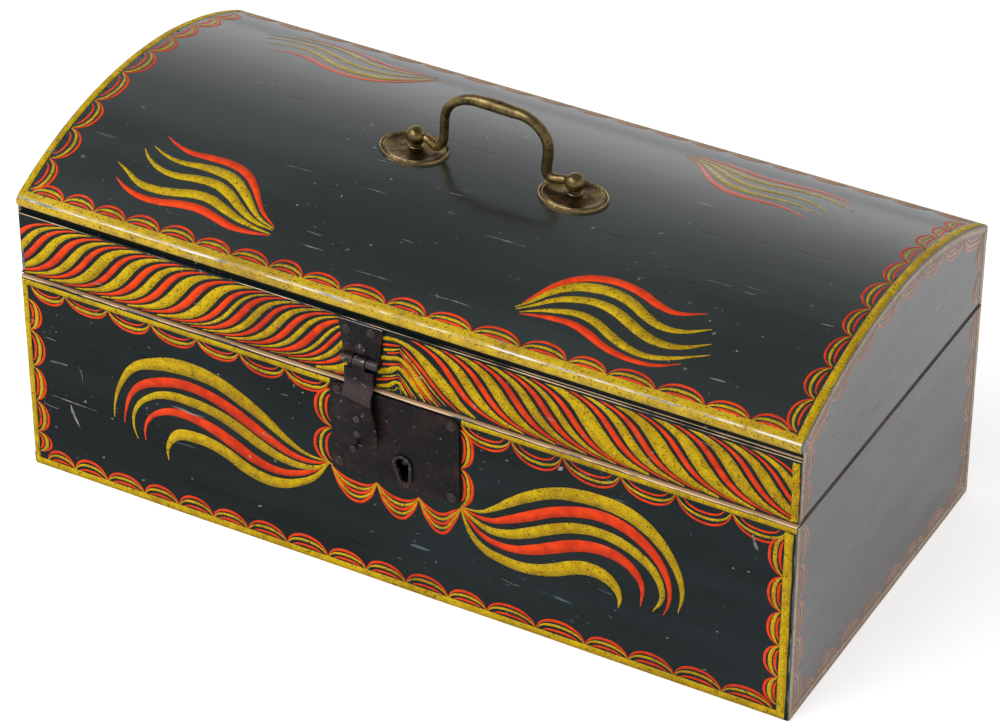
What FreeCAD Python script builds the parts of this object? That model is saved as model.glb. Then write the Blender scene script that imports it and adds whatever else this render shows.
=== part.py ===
import FreeCAD, Part
import math
import os

import Sketcher

# Dome top box of thin boards, nailed together and painted. The frame has +X to the right as seen from
# the front, the front towards -Y and +Z up. Its origin is on the floor, under the middle of the case.

V = FreeCAD.Vector
doc = FreeCAD.newDocument("dome_top_box")

# Driving sizes, in millimetres and degrees
SIZES = (
    ("case_length", 432.0),
    ("case_depth", 211.0),
    ("case_height", 116.6),
    ("board", 10.0),
    ("bottom_board_thickness", 7.0),
    ("lid_gap", 0.8),
    ("lid_side_height", 45.5),
    ("dome_rise", 25.9),
    ("dome_board_thickness", 7.5),
    ("rail_setback", 1.5),
    ("rail_arris_height", 35.8),
    ("quirk_depth", 3.0),
    ("nail_radius", 1.2),
    ("nail_length", 24.0),
    ("dome_nail_length", 19.0),
    ("hinge_length", 34.0),
    ("hinge_inset", 71.0),
    ("hinge_leaf_width", 8.0),
    ("hinge_leaf_thickness", 1.2),
    ("hinge_barrel_radius", 2.2),
    ("hinge_stand_off", 0.3),
    ("hinge_pin_radius", 0.9),
    ("knuckle_gap", 0.3),
    ("pin_clearance", 0.06),
    ("screw_radius", 1.2),
    ("screw_head_radius", 2.4),
    ("screw_length", 9.0),
    ("screw_pitch", 11.0),
    ("lock_shift", 1.3),
    ("lock_plate_width", 72.0),
    ("lock_plate_height", 51.0),
    ("lock_plate_thickness", 1.4),
    ("lock_plate_corner", 5.0),
    ("lock_plate_margin", 1.6),
    ("lock_nail_inset", 4.3),
    ("lock_case_width", 50.0),
    ("lock_case_height", 44.0),
    ("lock_case_depth", 7.6),
    ("lock_case_wall", 0.8),
    ("lock_case_shift", 2.5),
    ("mortise_clearance", 0.2),
    ("keyhole_shift", 4.3),
    ("keyhole_drop", 11.0),
    ("keyhole_bow_radius", 3.7),
    ("keyhole_slot_width", 4.6),
    ("keyhole_slot_length", 10.2),
    ("keyhole_tilt", 10.0),
    ("keyhole_rim_width", 1.7),
    ("keyhole_rim_height", 1.0),
    ("drill_pin_radius", 1.2),
    ("bolt_length", 26.0),
    ("bolt_height", 5.0),
    ("bolt_thickness", 2.0),
    ("bolt_tail_length", 16.0),
    ("bolt_tail_height", 7.0),
    ("bolt_talon", 5.0),
    ("bolt_setback", 1.7),
    ("bolt_clearance", 0.3),
    ("bolt_spring_length", 14.0),
    ("bolt_spring_thickness", 0.5),
    ("hasp_shift", -17.3),
    ("hasp_knuckle_height", 14.2),
    ("hasp_barrel_radius", 2.4),
    ("hasp_pin_radius", 1.1),
    ("hasp_plate_width", 20.5),
    ("hasp_plate_top_width", 25.0),
    ("hasp_plate_thickness", 1.6),
    ("hasp_plate_top_margin", 0.2),
    ("hasp_knuckle_width", 7.0),
    ("hasp_leaf_clearance", 0.6),
    ("hasp_nail_radius", 1.0),
    ("hasp_nail_head_radius", 2.7),
    ("hasp_nail_head_height", 0.9),
    ("hasp_nail_length", 9.0),
    ("hasp_top_nail_spread", 13.6),
    ("hasp_nail_rise", 7.0),
    ("hasp_top_nail_rise", 16.9),
    ("strap_length", 49.0),
    ("strap_width", 16.2),
    ("strap_foot_width", 23.2),
    ("strap_thickness", 1.7),
    ("strap_step", 2.4),
    ("strap_bend_start", 8.5),
    ("strap_bend_length", 8.0),
    ("strap_knob_radius", 2.3),
    ("staple_reach", 35.9),
    ("staple_spread", 9.0),
    ("staple_wire_radius", 1.1),
    ("staple_head_radius", 2.1),
    ("staple_head_height", 0.9),
    ("staple_slot_clearance", 1.2),
    ("handle_spacing", 88.9),
    ("handle_shift", -4.0),
    ("handle_axis_height", 6.8),
    ("rosette_half_length", 18.4),
    ("rosette_half_depth", 13.9),
    ("rosette_shift", -1.9),
    ("rosette_thickness", 1.0),
    ("rosette_rim_width", 1.5),
    ("rosette_rim_thickness", 1.8),
    ("rosette_ring_inset", 2.3),
    ("rosette_ring_width", 0.8),
    ("rosette_ring_thickness", 1.4),
    ("post_ball_radius", 5.1),
    ("post_neck_radius", 2.7),
    ("post_foot_radius", 3.8),
    ("post_shank_radius", 2.4),
    ("post_tail_length", 7.0),
    ("washer_radius", 6.5),
    ("washer_thickness", 1.0),
    ("washer_clearance", 0.25),
    ("nut_width", 8.5),
    ("nut_thickness", 3.2),
    ("bail_pin_radius", 1.9),
    ("bail_pin_length", 4.0),
    ("bail_shoulder_gap", 0.25),
    ("bail_half_span", 28.9),
    ("bail_height", 30.4),
    ("bail_drop", 5.7),
    ("bail_elbow_reach", 4.1),
    ("bail_elbow_bend", 3.2),
    ("bail_leg_bend", 13.0),
    ("bail_shoulder_bend", 11.0),
    ("bail_arm_radius", 2.4),
    ("bail_grip_radius", 3.3),
    ("overrun", 1.0),
)
sheet = doc.addObject("Spreadsheet::Sheet", "sizes")
for row, (alias, size) in enumerate(SIZES, start=1):
    sheet.set(f"A{row}", alias.replace("_", " "))
    sheet.set(f"B{row}", str(size))
    sheet.setAlias(f"B{row}", alias)
doc.recompute()


def number(formula):
    """The value of a formula of the sheet's sizes."""
    return float(sheet.evalExpression(formula))


def bind(thing, formulas):
    """Binds properties to formulas of the sheet's sizes."""
    for name, formula in formulas.items():
        thing.setExpression(name, str(formula))
    return thing


def place(thing, x="0", y="0", z="0"):
    """Puts an object's own origin at a point."""
    return bind(thing, {"Placement.Base.x": x, "Placement.Base.y": y, "Placement.Base.z": z})


def turn(thing, axis, degrees):
    """Turns an object about its own origin."""
    thing.Placement = FreeCAD.Placement(thing.Placement.Base, FreeCAD.Rotation(axis, number(degrees)))
    return bind(thing, {"Placement.Rotation.Angle": degrees})


def box(name, length, width, height, x, y, z):
    """A block from its lowest corner."""
    block = doc.addObject("Part::Box", name)
    bind(block, {"Length": length, "Width": width, "Height": height})
    return place(block, x, y, z)


def rod(name, radius, length, x, y, z, along="Z"):
    """A round bar that runs from a point in the positive direction of an axis."""
    bar = doc.addObject("Part::Cylinder", name)
    bind(bar, {"Radius": radius, "Height": length})
    if along == "X":
        bar.Placement.Rotation = FreeCAD.Rotation(V(0, 1, 0), 90)
    if along == "Y":
        bar.Placement.Rotation = FreeCAD.Rotation(V(1, 0, 0), -90)
    return place(bar, x, y, z)


def cone(name, start_radius, end_radius, length, x, y, z, along="Z"):
    """A round taper that runs from a point along an axis: Z, -Z or Y."""
    taper = doc.addObject("Part::Cone", name)
    bind(taper, {"Radius1": start_radius, "Radius2": end_radius, "Height": length})
    if along == "Y":
        taper.Placement.Rotation = FreeCAD.Rotation(V(1, 0, 0), -90)
    if along == "-Z":
        taper.Placement.Rotation = FreeCAD.Rotation(V(1, 0, 0), 180)
    return place(taper, x, y, z)


def ball(name, radius, x, y, z):
    """A ball about a point."""
    return place(bind(doc.addObject("Part::Sphere", name), {"Radius": radius}), x, y, z)


def fuse(name, *parts):
    """One solid of several that meet."""
    whole = doc.addObject("Part::MultiFuse", name)
    whole.Shapes = list(parts)
    return whole


def group(name, *parts):
    """Separate solids in one object."""
    whole = doc.addObject("Part::Compound", name)
    whole.Links = list(parts)
    return whole


def common(name, first, second):
    """What two solids share."""
    whole = doc.addObject("Part::MultiCommon", name)
    whole.Shapes = [first, second]
    return whole


def cut(name, base, *tools):
    """A solid less one or more others."""
    whole = doc.addObject("Part::Cut", name)
    whole.Base = base
    whole.Tool = tools[0] if len(tools) == 1 else group(f"{name}_tools", *tools)
    return whole


def plate(name, corners, thickness):
    """A flat piece with straight edges, drawn in X and Z and as thick either side of its middle."""
    body = doc.addObject("PartDesign::Body", name)
    plane = next(item for item in body.Origin.OriginFeatures if item.Role == "XZ_Plane")
    sketch = body.newObject("Sketcher::SketchObject", f"{name}_outline")
    sketch.AttachmentSupport = (plane, [""])
    sketch.MapMode = "FlatFace"
    points = [V(number(across), number(up), 0) for across, up in corners]
    for index, point in enumerate(points):
        sketch.addGeometry(Part.LineSegment(point, points[(index + 1) % len(points)]))
    for index in range(len(points)):
        sketch.addConstraint(Sketcher.Constraint("Coincident", index, 2, (index + 1) % len(points), 1))
    for index, (across, up) in enumerate(corners):
        for kind, formula in (("DistanceX", across), ("DistanceY", up)):
            constraint = Sketcher.Constraint(kind, -1, 1, index, 1, number(formula))
            entry = sketch.addConstraint(constraint)
            if formula != "0":
                sketch.setExpression(f"Constraints[{entry}]", formula)
    pad = body.newObject("PartDesign::Pad", f"{name}_pad")
    pad.Profile = sketch
    pad.Midplane = True
    bind(pad, {"Length": thickness})
    return body


# Places that several pieces share
HALF_LENGTH = "sizes.case_length/2"
HALF_DEPTH = "sizes.case_depth/2"
FRONT = f"-{HALF_DEPTH}"
WALL_BOTTOM = "sizes.bottom_board_thickness"
WALL_HEIGHT = f"(sizes.case_height - {WALL_BOTTOM})"
BOARD_MIDDLE = "sizes.board/2"
LID_BOTTOM = "(sizes.case_height + sizes.lid_gap)"
RAIL_FACE = f"({FRONT} + sizes.rail_setback)"
RAIL_ARRIS = f"({LID_BOTTOM} + sizes.rail_arris_height)"
DOME_EDGE = f"({LID_BOTTOM} + sizes.lid_side_height)"
DOME_TOP = f"({DOME_EDGE} + sizes.dome_rise)"
DOME_RADIUS = "((sizes.case_depth^2/4 + sizes.dome_rise^2)/(2*sizes.dome_rise))"
DOME_CENTRE = f"({DOME_TOP} - {DOME_RADIUS})"
UNDER_RADIUS = f"({DOME_RADIUS} - sizes.dome_board_thickness)"
SIDES = (("left", "-1"), ("right", "1"))
END_STARTS = (("left", f"-{HALF_LENGTH}"), ("right", f"{HALF_LENGTH} - sizes.board"))

nodes = {}

# Nails of the case. Each is driven through the front or back board into the end grain of an end board,
# or up through the bottom board into the wall above it.
corner_nail_shares = (0.22, 0.5, 0.78)
corner_nails = []
for side, sign in SIDES:
    for face, start in (("front", FRONT), ("back", f"{HALF_DEPTH} - sizes.nail_length")):
        for index, share in enumerate(corner_nail_shares):
            corner_nails.append(rod(
                f"corner_nail_{side}_{face}_{index}", "sizes.nail_radius", "sizes.nail_length",
                f"{sign}*({HALF_LENGTH} - {BOARD_MIDDLE})", start,
                f"{WALL_BOTTOM} + {share}*{WALL_HEIGHT}", along="Y"))
nodes["case_nails"] = group("case_nails", *corner_nails)

long_side_nail_shares = (-0.4, -0.2, 0.0, 0.2, 0.4)
end_nail_shares = (-0.22, 0.22)
bottom_nails = []
for face, sign in (("front", "-1"), ("back", "1")):
    for index, share in enumerate(long_side_nail_shares):
        bottom_nails.append(rod(
            f"bottom_nail_{face}_{index}", "sizes.nail_radius", "sizes.nail_length",
            f"{share}*sizes.case_length", f"{sign}*({HALF_DEPTH} - {BOARD_MIDDLE})", "0"))
for side, sign in SIDES:
    for index, share in enumerate(end_nail_shares):
        bottom_nails.append(rod(
            f"bottom_nail_{side}_{index}", "sizes.nail_radius", "sizes.nail_length",
            f"{sign}*({HALF_LENGTH} - {BOARD_MIDDLE})", f"{share}*sizes.case_depth", "0"))
nodes["bottom_nails"] = group("bottom_nails", *bottom_nails)

# Back hinges. Each leaf is let flush into the edge of its board, the pin is tight in the two outer
# knuckles of the case leaf, and the middle knuckle of the lid leaf turns on it.
HINGE_Y = f"({HALF_DEPTH} + sizes.hinge_barrel_radius + sizes.hinge_stand_off)"
HINGE_Z = "(sizes.case_height + sizes.lid_gap/2)"
KNUCKLE = "(sizes.hinge_length/3)"
CASE_LEAF_BOTTOM = "(sizes.case_height - sizes.hinge_leaf_thickness)"
LEAF_FRONT = f"({HALF_DEPTH} - sizes.hinge_leaf_width)"
screw_place_shares = (-1, 0, 1)


def screws(name, middle, top, along):
    """Three countersunk screws whose heads are flush with a leaf, pointing down or up."""
    made = []
    for index, share in enumerate(screw_place_shares):
        x = f"{middle} + {share}*sizes.screw_pitch"
        y = f"{HALF_DEPTH} - sizes.hinge_leaf_width/2"
        shank_start = f"{top} - sizes.screw_length" if along == "-Z" else top
        made.append(fuse(
            f"{name}_{index}",
            cone(f"{name}_head_{index}", "sizes.screw_head_radius", "sizes.screw_radius",
                 "sizes.hinge_leaf_thickness", x, y, top, along),
            rod(f"{name}_shank_{index}", "sizes.screw_radius", "sizes.screw_length", x, y, shank_start)))
    return made


hinge_pins, case_screws, lid_screws, case_recesses, lid_recesses = [], [], [], [], []
for side, sign in SIDES:
    middle = f"{sign}*({HALF_LENGTH} - sizes.hinge_inset)"
    left_end = f"{middle} - sizes.hinge_length/2"
    hinge_pins.append(rod(f"hinge_pin_{side}", "sizes.hinge_pin_radius", "sizes.hinge_length",
                          left_end, HINGE_Y, HINGE_Z, along="X"))
    case_screws += screws(f"case_screw_{side}", middle, "sizes.case_height", "-Z")
    lid_screws += screws(f"lid_screw_{side}", middle, LID_BOTTOM, "Z")
    for name, bottom, knuckles, gap, bore, screw_set, recesses in (
            (f"case_hinge_leaf_{side}", CASE_LEAF_BOTTOM, (0, 2), "0", "sizes.hinge_pin_radius",
             case_screws, case_recesses),
            (f"lid_hinge_leaf_{side}", LID_BOTTOM, (1,), "sizes.knuckle_gap",
             "sizes.hinge_pin_radius + sizes.pin_clearance", lid_screws, lid_recesses)):
        leaf = box(f"{name}_flat", "sizes.hinge_length", "sizes.hinge_leaf_width",
                   "sizes.hinge_leaf_thickness", left_end, LEAF_FRONT, bottom)
        recesses.append(leaf)
        pieces = [leaf]
        for knuckle in knuckles:
            start, width = f"{left_end} + {knuckle}*{KNUCKLE} + {gap}", f"{KNUCKLE} - 2*{gap}"
            pieces.append(box(f"{name}_tab_{knuckle}", width, f"{HINGE_Y} - {LEAF_FRONT}",
                              "sizes.hinge_leaf_thickness", start, LEAF_FRONT, bottom))
            pieces.append(rod(f"{name}_barrel_{knuckle}", "sizes.hinge_barrel_radius", width, start,
                              HINGE_Y, HINGE_Z, along="X"))
        bore_rod = rod(f"{name}_bore", bore, "sizes.hinge_length + 2*sizes.overrun",
                       f"{left_end} - sizes.overrun", HINGE_Y, HINGE_Z, along="X")
        nodes[name] = cut(name, fuse(f"{name}_blank", *pieces), bore_rod, *screw_set[-3:])
nodes["hinge_pins"] = group("hinge_pins", *hinge_pins)
nodes["case_hinge_screws"] = group("case_hinge_screws", *case_screws)
nodes["lid_hinge_screws"] = group("lid_hinge_screws", *lid_screws)

# Places of the lock. The plate is nailed to the front board, and the staple of the hasp enters the lock
# through a slot in it, above and to the left of the keyhole.
PLATE_X = "sizes.lock_shift"
PLATE_Z = "(sizes.case_height - sizes.lock_plate_margin - sizes.lock_plate_height/2)"
PLATE_FRONT = f"({FRONT} - sizes.lock_plate_thickness)"
KEYHOLE_X = f"({PLATE_X} + sizes.keyhole_shift)"
KEYHOLE_Z = f"({PLATE_Z} - sizes.keyhole_drop)"
HASP_X = "sizes.hasp_shift"
HASP_Y = f"({RAIL_FACE} - sizes.hasp_barrel_radius)"
HASP_Z = f"({LID_BOTTOM} + sizes.hasp_knuckle_height)"
STAPLE_Z = f"({HASP_Z} - sizes.staple_reach)"


def studs(name, places, radius, length, head_radius, head_height, face):
    """Nails with raised heads, driven towards the back into a face."""
    return [fuse(f"{name}_{index}",
                 rod(f"{name}_shank_{index}", radius, length, x, face, z, along="Y"),
                 cone(f"{name}_head_{index}", f"{head_radius}/2", head_radius, head_height,
                      x, f"{face} - {head_height}", z, along="Y"))
            for index, (x, z) in enumerate(places)]


plate_nail_places = [
    (f"{PLATE_X} + {across}*(sizes.lock_plate_width/2 - sizes.lock_nail_inset)",
     f"{PLATE_Z} + {up}*(sizes.lock_plate_height/2 - sizes.lock_nail_inset)")
    for across in (-1, 1) for up in (-1, 1)]
plate_nails = studs("lock_plate_nail", plate_nail_places, "sizes.hasp_nail_radius",
                    "sizes.hasp_nail_length", "sizes.hasp_nail_head_radius",
                    "sizes.hasp_nail_head_height", PLATE_FRONT)
nodes["lock_plate_nails"] = group("lock_plate_nails", *plate_nails)


def keyhole(name, margin, start, depth):
    """A keyhole, round above and straight below, that leans as the real one does."""
    whole = fuse(name,
                 rod(f"{name}_bow", f"sizes.keyhole_bow_radius + {margin}", depth, "0", "0", "0",
                     along="Y"),
                 box(f"{name}_slot", f"sizes.keyhole_slot_width + 2*{margin}", depth,
                     f"sizes.keyhole_slot_length + {margin}",
                     f"-sizes.keyhole_slot_width/2 - {margin}", "0",
                     f"-sizes.keyhole_slot_length - {margin}"))
    turn(whole, V(0, 1, 0), "-sizes.keyhole_tilt")
    return place(whole, KEYHOLE_X, start, KEYHOLE_Z)


RIM_FRONT = f"({PLATE_FRONT} - sizes.keyhole_rim_height)"
keyhole_cut = keyhole("keyhole_cut", "0", f"{RIM_FRONT} - sizes.overrun",
                      "sizes.keyhole_rim_height + sizes.lock_plate_thickness + 2*sizes.overrun")
nodes["keyhole_rim"] = cut(
    "keyhole_rim",
    keyhole("keyhole_rim_blank", "sizes.keyhole_rim_width", RIM_FRONT, "sizes.keyhole_rim_height"),
    keyhole_cut)

SLOT_WIDTH = "(2*sizes.staple_wire_radius + 2*sizes.staple_slot_clearance)"
SLOT_HEIGHT = f"(sizes.staple_spread + {SLOT_WIDTH})"
staple_slot = box("staple_slot", SLOT_WIDTH, "sizes.lock_plate_thickness + 2*sizes.overrun", SLOT_HEIGHT,
                  f"{HASP_X} - {SLOT_WIDTH}/2", f"{PLATE_FRONT} - sizes.overrun",
                  f"{STAPLE_Z} - {SLOT_HEIGHT}/2")
HALF_PLATE_WIDTH = "sizes.lock_plate_width/2"
HALF_PLATE_HEIGHT = "sizes.lock_plate_height/2"
PLATE_CORNER = "sizes.lock_plate_corner"
corner_cut_share = 0.29
plate_outline = []
for across, up in ((-1, -1), (1, -1), (1, 1), (-1, 1)):
    long_way = (f"{across}*{HALF_PLATE_WIDTH}", f"{up}*({HALF_PLATE_HEIGHT} - {PLATE_CORNER})")
    middle_way = (f"{across}*({HALF_PLATE_WIDTH} - {corner_cut_share}*{PLATE_CORNER})",
                  f"{up}*({HALF_PLATE_HEIGHT} - {corner_cut_share}*{PLATE_CORNER})")
    short_way = (f"{across}*({HALF_PLATE_WIDTH} - {PLATE_CORNER})", f"{up}*{HALF_PLATE_HEIGHT}")
    ways = [long_way, middle_way, short_way]
    plate_outline += ways if across*up > 0 else ways[::-1]
lock_plate_blank = place(plate("lock_plate_blank", plate_outline, "sizes.lock_plate_thickness"),
                         PLATE_X, f"{FRONT} - sizes.lock_plate_thickness/2", PLATE_Z)
nodes["lock_plate"] = cut("lock_plate", lock_plate_blank, keyhole_cut, staple_slot, *plate_nails)

# Lock case, an open tray of thin iron in its mortise, closed in front by the plate
CASE_X = f"({PLATE_X} - sizes.lock_case_shift)"
CASE_LEFT = f"({CASE_X} - sizes.lock_case_width/2)"
CASE_BOTTOM = f"({PLATE_Z} - sizes.lock_case_height/2)"
CASE_INSIDE_BACK = f"({FRONT} + sizes.lock_case_depth - sizes.lock_case_wall)"
CASE_INSIDE_TOP = f"({CASE_BOTTOM} + sizes.lock_case_height - sizes.lock_case_wall)"
nodes["lock_case"] = cut(
    "lock_case",
    box("lock_case_block", "sizes.lock_case_width", "sizes.lock_case_depth", "sizes.lock_case_height",
        CASE_LEFT, FRONT, CASE_BOTTOM),
    box("lock_case_space", "sizes.lock_case_width - 2*sizes.lock_case_wall",
        "sizes.lock_case_depth - sizes.lock_case_wall + sizes.overrun",
        "sizes.lock_case_height - 2*sizes.lock_case_wall",
        f"{CASE_LEFT} + sizes.lock_case_wall", f"{FRONT} - sizes.overrun",
        f"{CASE_BOTTOM} + sizes.lock_case_wall"))
mortise = box("lock_mortise", "sizes.lock_case_width + 2*sizes.mortise_clearance",
              "sizes.lock_case_depth + sizes.mortise_clearance + sizes.overrun",
              "sizes.lock_case_height + 2*sizes.mortise_clearance",
              f"{CASE_LEFT} - sizes.mortise_clearance", f"{FRONT} - sizes.overrun",
              f"{CASE_BOTTOM} - sizes.mortise_clearance")
DRILL_PIN_FRONT = f"({FRONT} + sizes.bolt_clearance)"
nodes["drill_pin"] = rod("drill_pin", "sizes.drill_pin_radius", f"{CASE_INSIDE_BACK} - {DRILL_PIN_FRONT}",
                         KEYHOLE_X, DRILL_PIN_FRONT, KEYHOLE_Z, along="Y")

# Lock bolt, drawn back clear of the staple, with a notched tail that the key pushes
BOLT_LEFT = f"({HASP_X} + sizes.staple_wire_radius + sizes.bolt_setback)"
BOLT_BOTTOM = f"({STAPLE_Z} - sizes.bolt_height/2)"
BOLT_FRONT = f"({FRONT} + sizes.bolt_clearance)"
TAIL_LEFT = f"({BOLT_LEFT} + sizes.bolt_length - sizes.bolt_tail_length)"
bolt_blank = fuse(
    "bolt_blank",
    box("bolt_bar", "sizes.bolt_length", "sizes.bolt_thickness", "sizes.bolt_height",
        BOLT_LEFT, BOLT_FRONT, BOLT_BOTTOM),
    box("bolt_tail", "sizes.bolt_tail_length", "sizes.bolt_thickness",
        "sizes.bolt_tail_height + sizes.bolt_height/2",
        TAIL_LEFT, BOLT_FRONT, f"{BOLT_BOTTOM} - sizes.bolt_tail_height"))
talon = box("bolt_talon_cut", "sizes.bolt_talon", "sizes.bolt_thickness + 2*sizes.overrun",
            "sizes.bolt_tail_height/2 + sizes.overrun", f"{KEYHOLE_X} - sizes.bolt_talon/2",
            f"{BOLT_FRONT} - sizes.overrun", f"{BOLT_BOTTOM} - sizes.bolt_tail_height - sizes.overrun")
nodes["lock_bolt"] = cut("lock_bolt", bolt_blank, talon)

# Bolt spring, a bent strip fixed under the roof of the lock case, just over the bolt
SPRING_RIGHT = f"({BOLT_LEFT} + sizes.bolt_length)"
SPRING_BOTTOM = f"({BOLT_BOTTOM} + sizes.bolt_height + sizes.bolt_clearance)"
nodes["bolt_spring"] = fuse(
    "bolt_spring",
    box("bolt_spring_leaf", "sizes.bolt_spring_length", "sizes.bolt_thickness",
        "sizes.bolt_spring_thickness", f"{SPRING_RIGHT} - sizes.bolt_spring_length", BOLT_FRONT,
        SPRING_BOTTOM),
    box("bolt_spring_foot", "sizes.bolt_spring_thickness", "sizes.bolt_thickness",
        f"{CASE_INSIDE_TOP} - {SPRING_BOTTOM}", f"{SPRING_RIGHT} - sizes.bolt_spring_thickness",
        BOLT_FRONT, SPRING_BOTTOM))

# Case boards. The front and back run full length over the ends, on top of the bottom board.
nodes["bottom_board"] = cut(
    "bottom_board",
    box("bottom_board_block", "sizes.case_length", "sizes.case_depth", "sizes.bottom_board_thickness",
        f"-{HALF_LENGTH}", FRONT, "0"),
    nodes["bottom_nails"])
nodes["front_board"] = cut(
    "front_board",
    box("front_board_block", "sizes.case_length", "sizes.board", WALL_HEIGHT,
        f"-{HALF_LENGTH}", FRONT, WALL_BOTTOM),
    nodes["case_nails"], nodes["bottom_nails"], mortise, *plate_nails)
nodes["back_board"] = cut(
    "back_board",
    box("back_board_block", "sizes.case_length", "sizes.board", WALL_HEIGHT,
        f"-{HALF_LENGTH}", f"{HALF_DEPTH} - sizes.board", WALL_BOTTOM),
    nodes["case_nails"], nodes["bottom_nails"], *case_recesses, *case_screws)
for side, start in END_STARTS:
    nodes[f"{side}_end_board"] = cut(
        f"{side}_end_board",
        box(f"{side}_end_board_block", "sizes.board", "sizes.case_depth - 2*sizes.board", WALL_HEIGHT,
            start, f"{FRONT} + sizes.board", WALL_BOTTOM),
        nodes["case_nails"], nodes["bottom_nails"])

# Nails of the lid. Those of the rails run into the end boards, and those of the dome board are square to
# its curve.
rail_nail_shares = (0.2, 0.55)
rail_nails = []
for side, sign in SIDES:
    for face, start in (("front", RAIL_FACE), ("back", f"{HALF_DEPTH} - sizes.nail_length")):
        for index, share in enumerate(rail_nail_shares):
            rail_nails.append(rod(
                f"rail_nail_{side}_{face}_{index}", "sizes.nail_radius", "sizes.nail_length",
                f"{sign}*({HALF_LENGTH} - {BOARD_MIDDLE})", start,
                f"{LID_BOTTOM} + {share}*sizes.rail_arris_height", along="Y"))
nodes["rail_nails"] = group("rail_nails", *rail_nails)

dome_nail_shares = (-0.92, -0.64, -0.28, 0.04, 0.36, 0.66, 0.9)
dome_nails = []
for side, sign in SIDES:
    for index, share in enumerate(dome_nail_shares):
        lean = f"asin({HALF_DEPTH}/{DOME_RADIUS})*{share}"
        head_depth = f"({DOME_RADIUS} - sizes.dome_nail_length)"
        nail = rod(f"dome_nail_{side}_{index}", "sizes.nail_radius", "sizes.dome_nail_length",
                   f"{sign}*({HALF_LENGTH} - {BOARD_MIDDLE})", f"{head_depth}*sin({lean})",
                   f"{DOME_CENTRE} + {head_depth}*cos({lean})")
        dome_nails.append(turn(nail, V(1, 0, 0), f"0 deg - {lean}"))
nodes["dome_nails"] = group("dome_nails", *dome_nails)

# Hasp plate on the front rail, with two rolled knuckles about its pin
KNUCKLE_CLEAR = "(sizes.hasp_barrel_radius + sizes.hasp_leaf_clearance)"
PLATE_RISE = f"({RAIL_ARRIS} - sizes.hasp_plate_top_margin - {HASP_Z})"
SIDE_KNUCKLE = "((sizes.hasp_plate_width - sizes.hasp_knuckle_width)/2 - sizes.knuckle_gap)"
hasp_nail_places = [
    (f"{HASP_X} - sizes.hasp_top_nail_spread/2", f"{HASP_Z} + sizes.hasp_top_nail_rise"),
    (f"{HASP_X} + sizes.hasp_top_nail_spread/2", f"{HASP_Z} + sizes.hasp_top_nail_rise"),
    (HASP_X, f"{HASP_Z} + sizes.hasp_nail_rise")]
HASP_PLATE_FRONT = f"({RAIL_FACE} - sizes.hasp_plate_thickness)"
hasp_nails = studs("hasp_plate_nail", hasp_nail_places, "sizes.hasp_nail_radius",
                   "sizes.hasp_nail_length", "sizes.hasp_nail_head_radius",
                   "sizes.hasp_nail_head_height", HASP_PLATE_FRONT)
nodes["hasp_plate_nails"] = group("hasp_plate_nails", *hasp_nails)
hasp_leaf = plate(
    "hasp_leaf",
    (("-sizes.hasp_plate_width/2", "0"), ("sizes.hasp_plate_width/2", "0"),
     ("sizes.hasp_plate_top_width/2", PLATE_RISE), ("-sizes.hasp_plate_top_width/2", PLATE_RISE)),
    "sizes.hasp_plate_thickness")
place(hasp_leaf, HASP_X, f"{RAIL_FACE} - sizes.hasp_plate_thickness/2", HASP_Z)
hasp_barrels = [
    rod(f"hasp_barrel_{side}", "sizes.hasp_barrel_radius", SIDE_KNUCKLE, start, HASP_Y, HASP_Z, along="X")
    for side, start in (("left", f"{HASP_X} - sizes.hasp_plate_width/2"),
                        ("right", f"{HASP_X} + sizes.hasp_plate_width/2 - {SIDE_KNUCKLE}"))]
NOTCH_WIDTH = "(sizes.hasp_knuckle_width + 2*sizes.knuckle_gap)"
hasp_notch = box("hasp_notch", NOTCH_WIDTH, "2*sizes.hasp_barrel_radius + 2*sizes.overrun",
                 f"2*{KNUCKLE_CLEAR}", f"{HASP_X} - {NOTCH_WIDTH}/2",
                 f"{HASP_Y} - sizes.hasp_barrel_radius - sizes.overrun", f"{HASP_Z} - {KNUCKLE_CLEAR}")
nodes["hasp_pin"] = rod("hasp_pin", "sizes.hasp_pin_radius", "sizes.hasp_plate_width",
                        f"{HASP_X} - sizes.hasp_plate_width/2", HASP_Y, HASP_Z, along="X")
nodes["hasp_plate"] = cut("hasp_plate", fuse("hasp_plate_blank", hasp_leaf, *hasp_barrels),
                          hasp_notch, nodes["hasp_pin"], *hasp_nails)

# Lid boards. The rails run full length over the ends, and all four are shaped on top to the underside of
# the dome board. The front rail is cut back above its arris, which leaves a dark quirk under the nose.
under_dome = rod("under_dome", UNDER_RADIUS, "sizes.case_length", f"-{HALF_LENGTH}", "0", DOME_CENTRE,
                 along="X")
LID_BLOCK_HEIGHT = f"{DOME_TOP} - {LID_BOTTOM}"
quirk = box("quirk", "sizes.case_length + 2*sizes.overrun", "sizes.quirk_depth + sizes.overrun",
            LID_BLOCK_HEIGHT, f"-{HALF_LENGTH} - sizes.overrun", f"{RAIL_FACE} - sizes.overrun",
            RAIL_ARRIS)
nodes["lid_front_rail"] = cut(
    "lid_front_rail",
    common("lid_front_rail_blank",
           box("lid_front_rail_block", "sizes.case_length", "sizes.board", LID_BLOCK_HEIGHT,
               f"-{HALF_LENGTH}", RAIL_FACE, LID_BOTTOM), under_dome),
    quirk, nodes["rail_nails"], nodes["dome_nails"], *hasp_nails)
nodes["lid_back_rail"] = cut(
    "lid_back_rail",
    common("lid_back_rail_blank",
           box("lid_back_rail_block", "sizes.case_length", "sizes.board", LID_BLOCK_HEIGHT,
               f"-{HALF_LENGTH}", f"{HALF_DEPTH} - sizes.board", LID_BOTTOM), under_dome),
    nodes["rail_nails"], nodes["dome_nails"], *lid_recesses, *lid_screws)
LID_END_FRONT = f"({RAIL_FACE} + sizes.board)"
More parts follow.
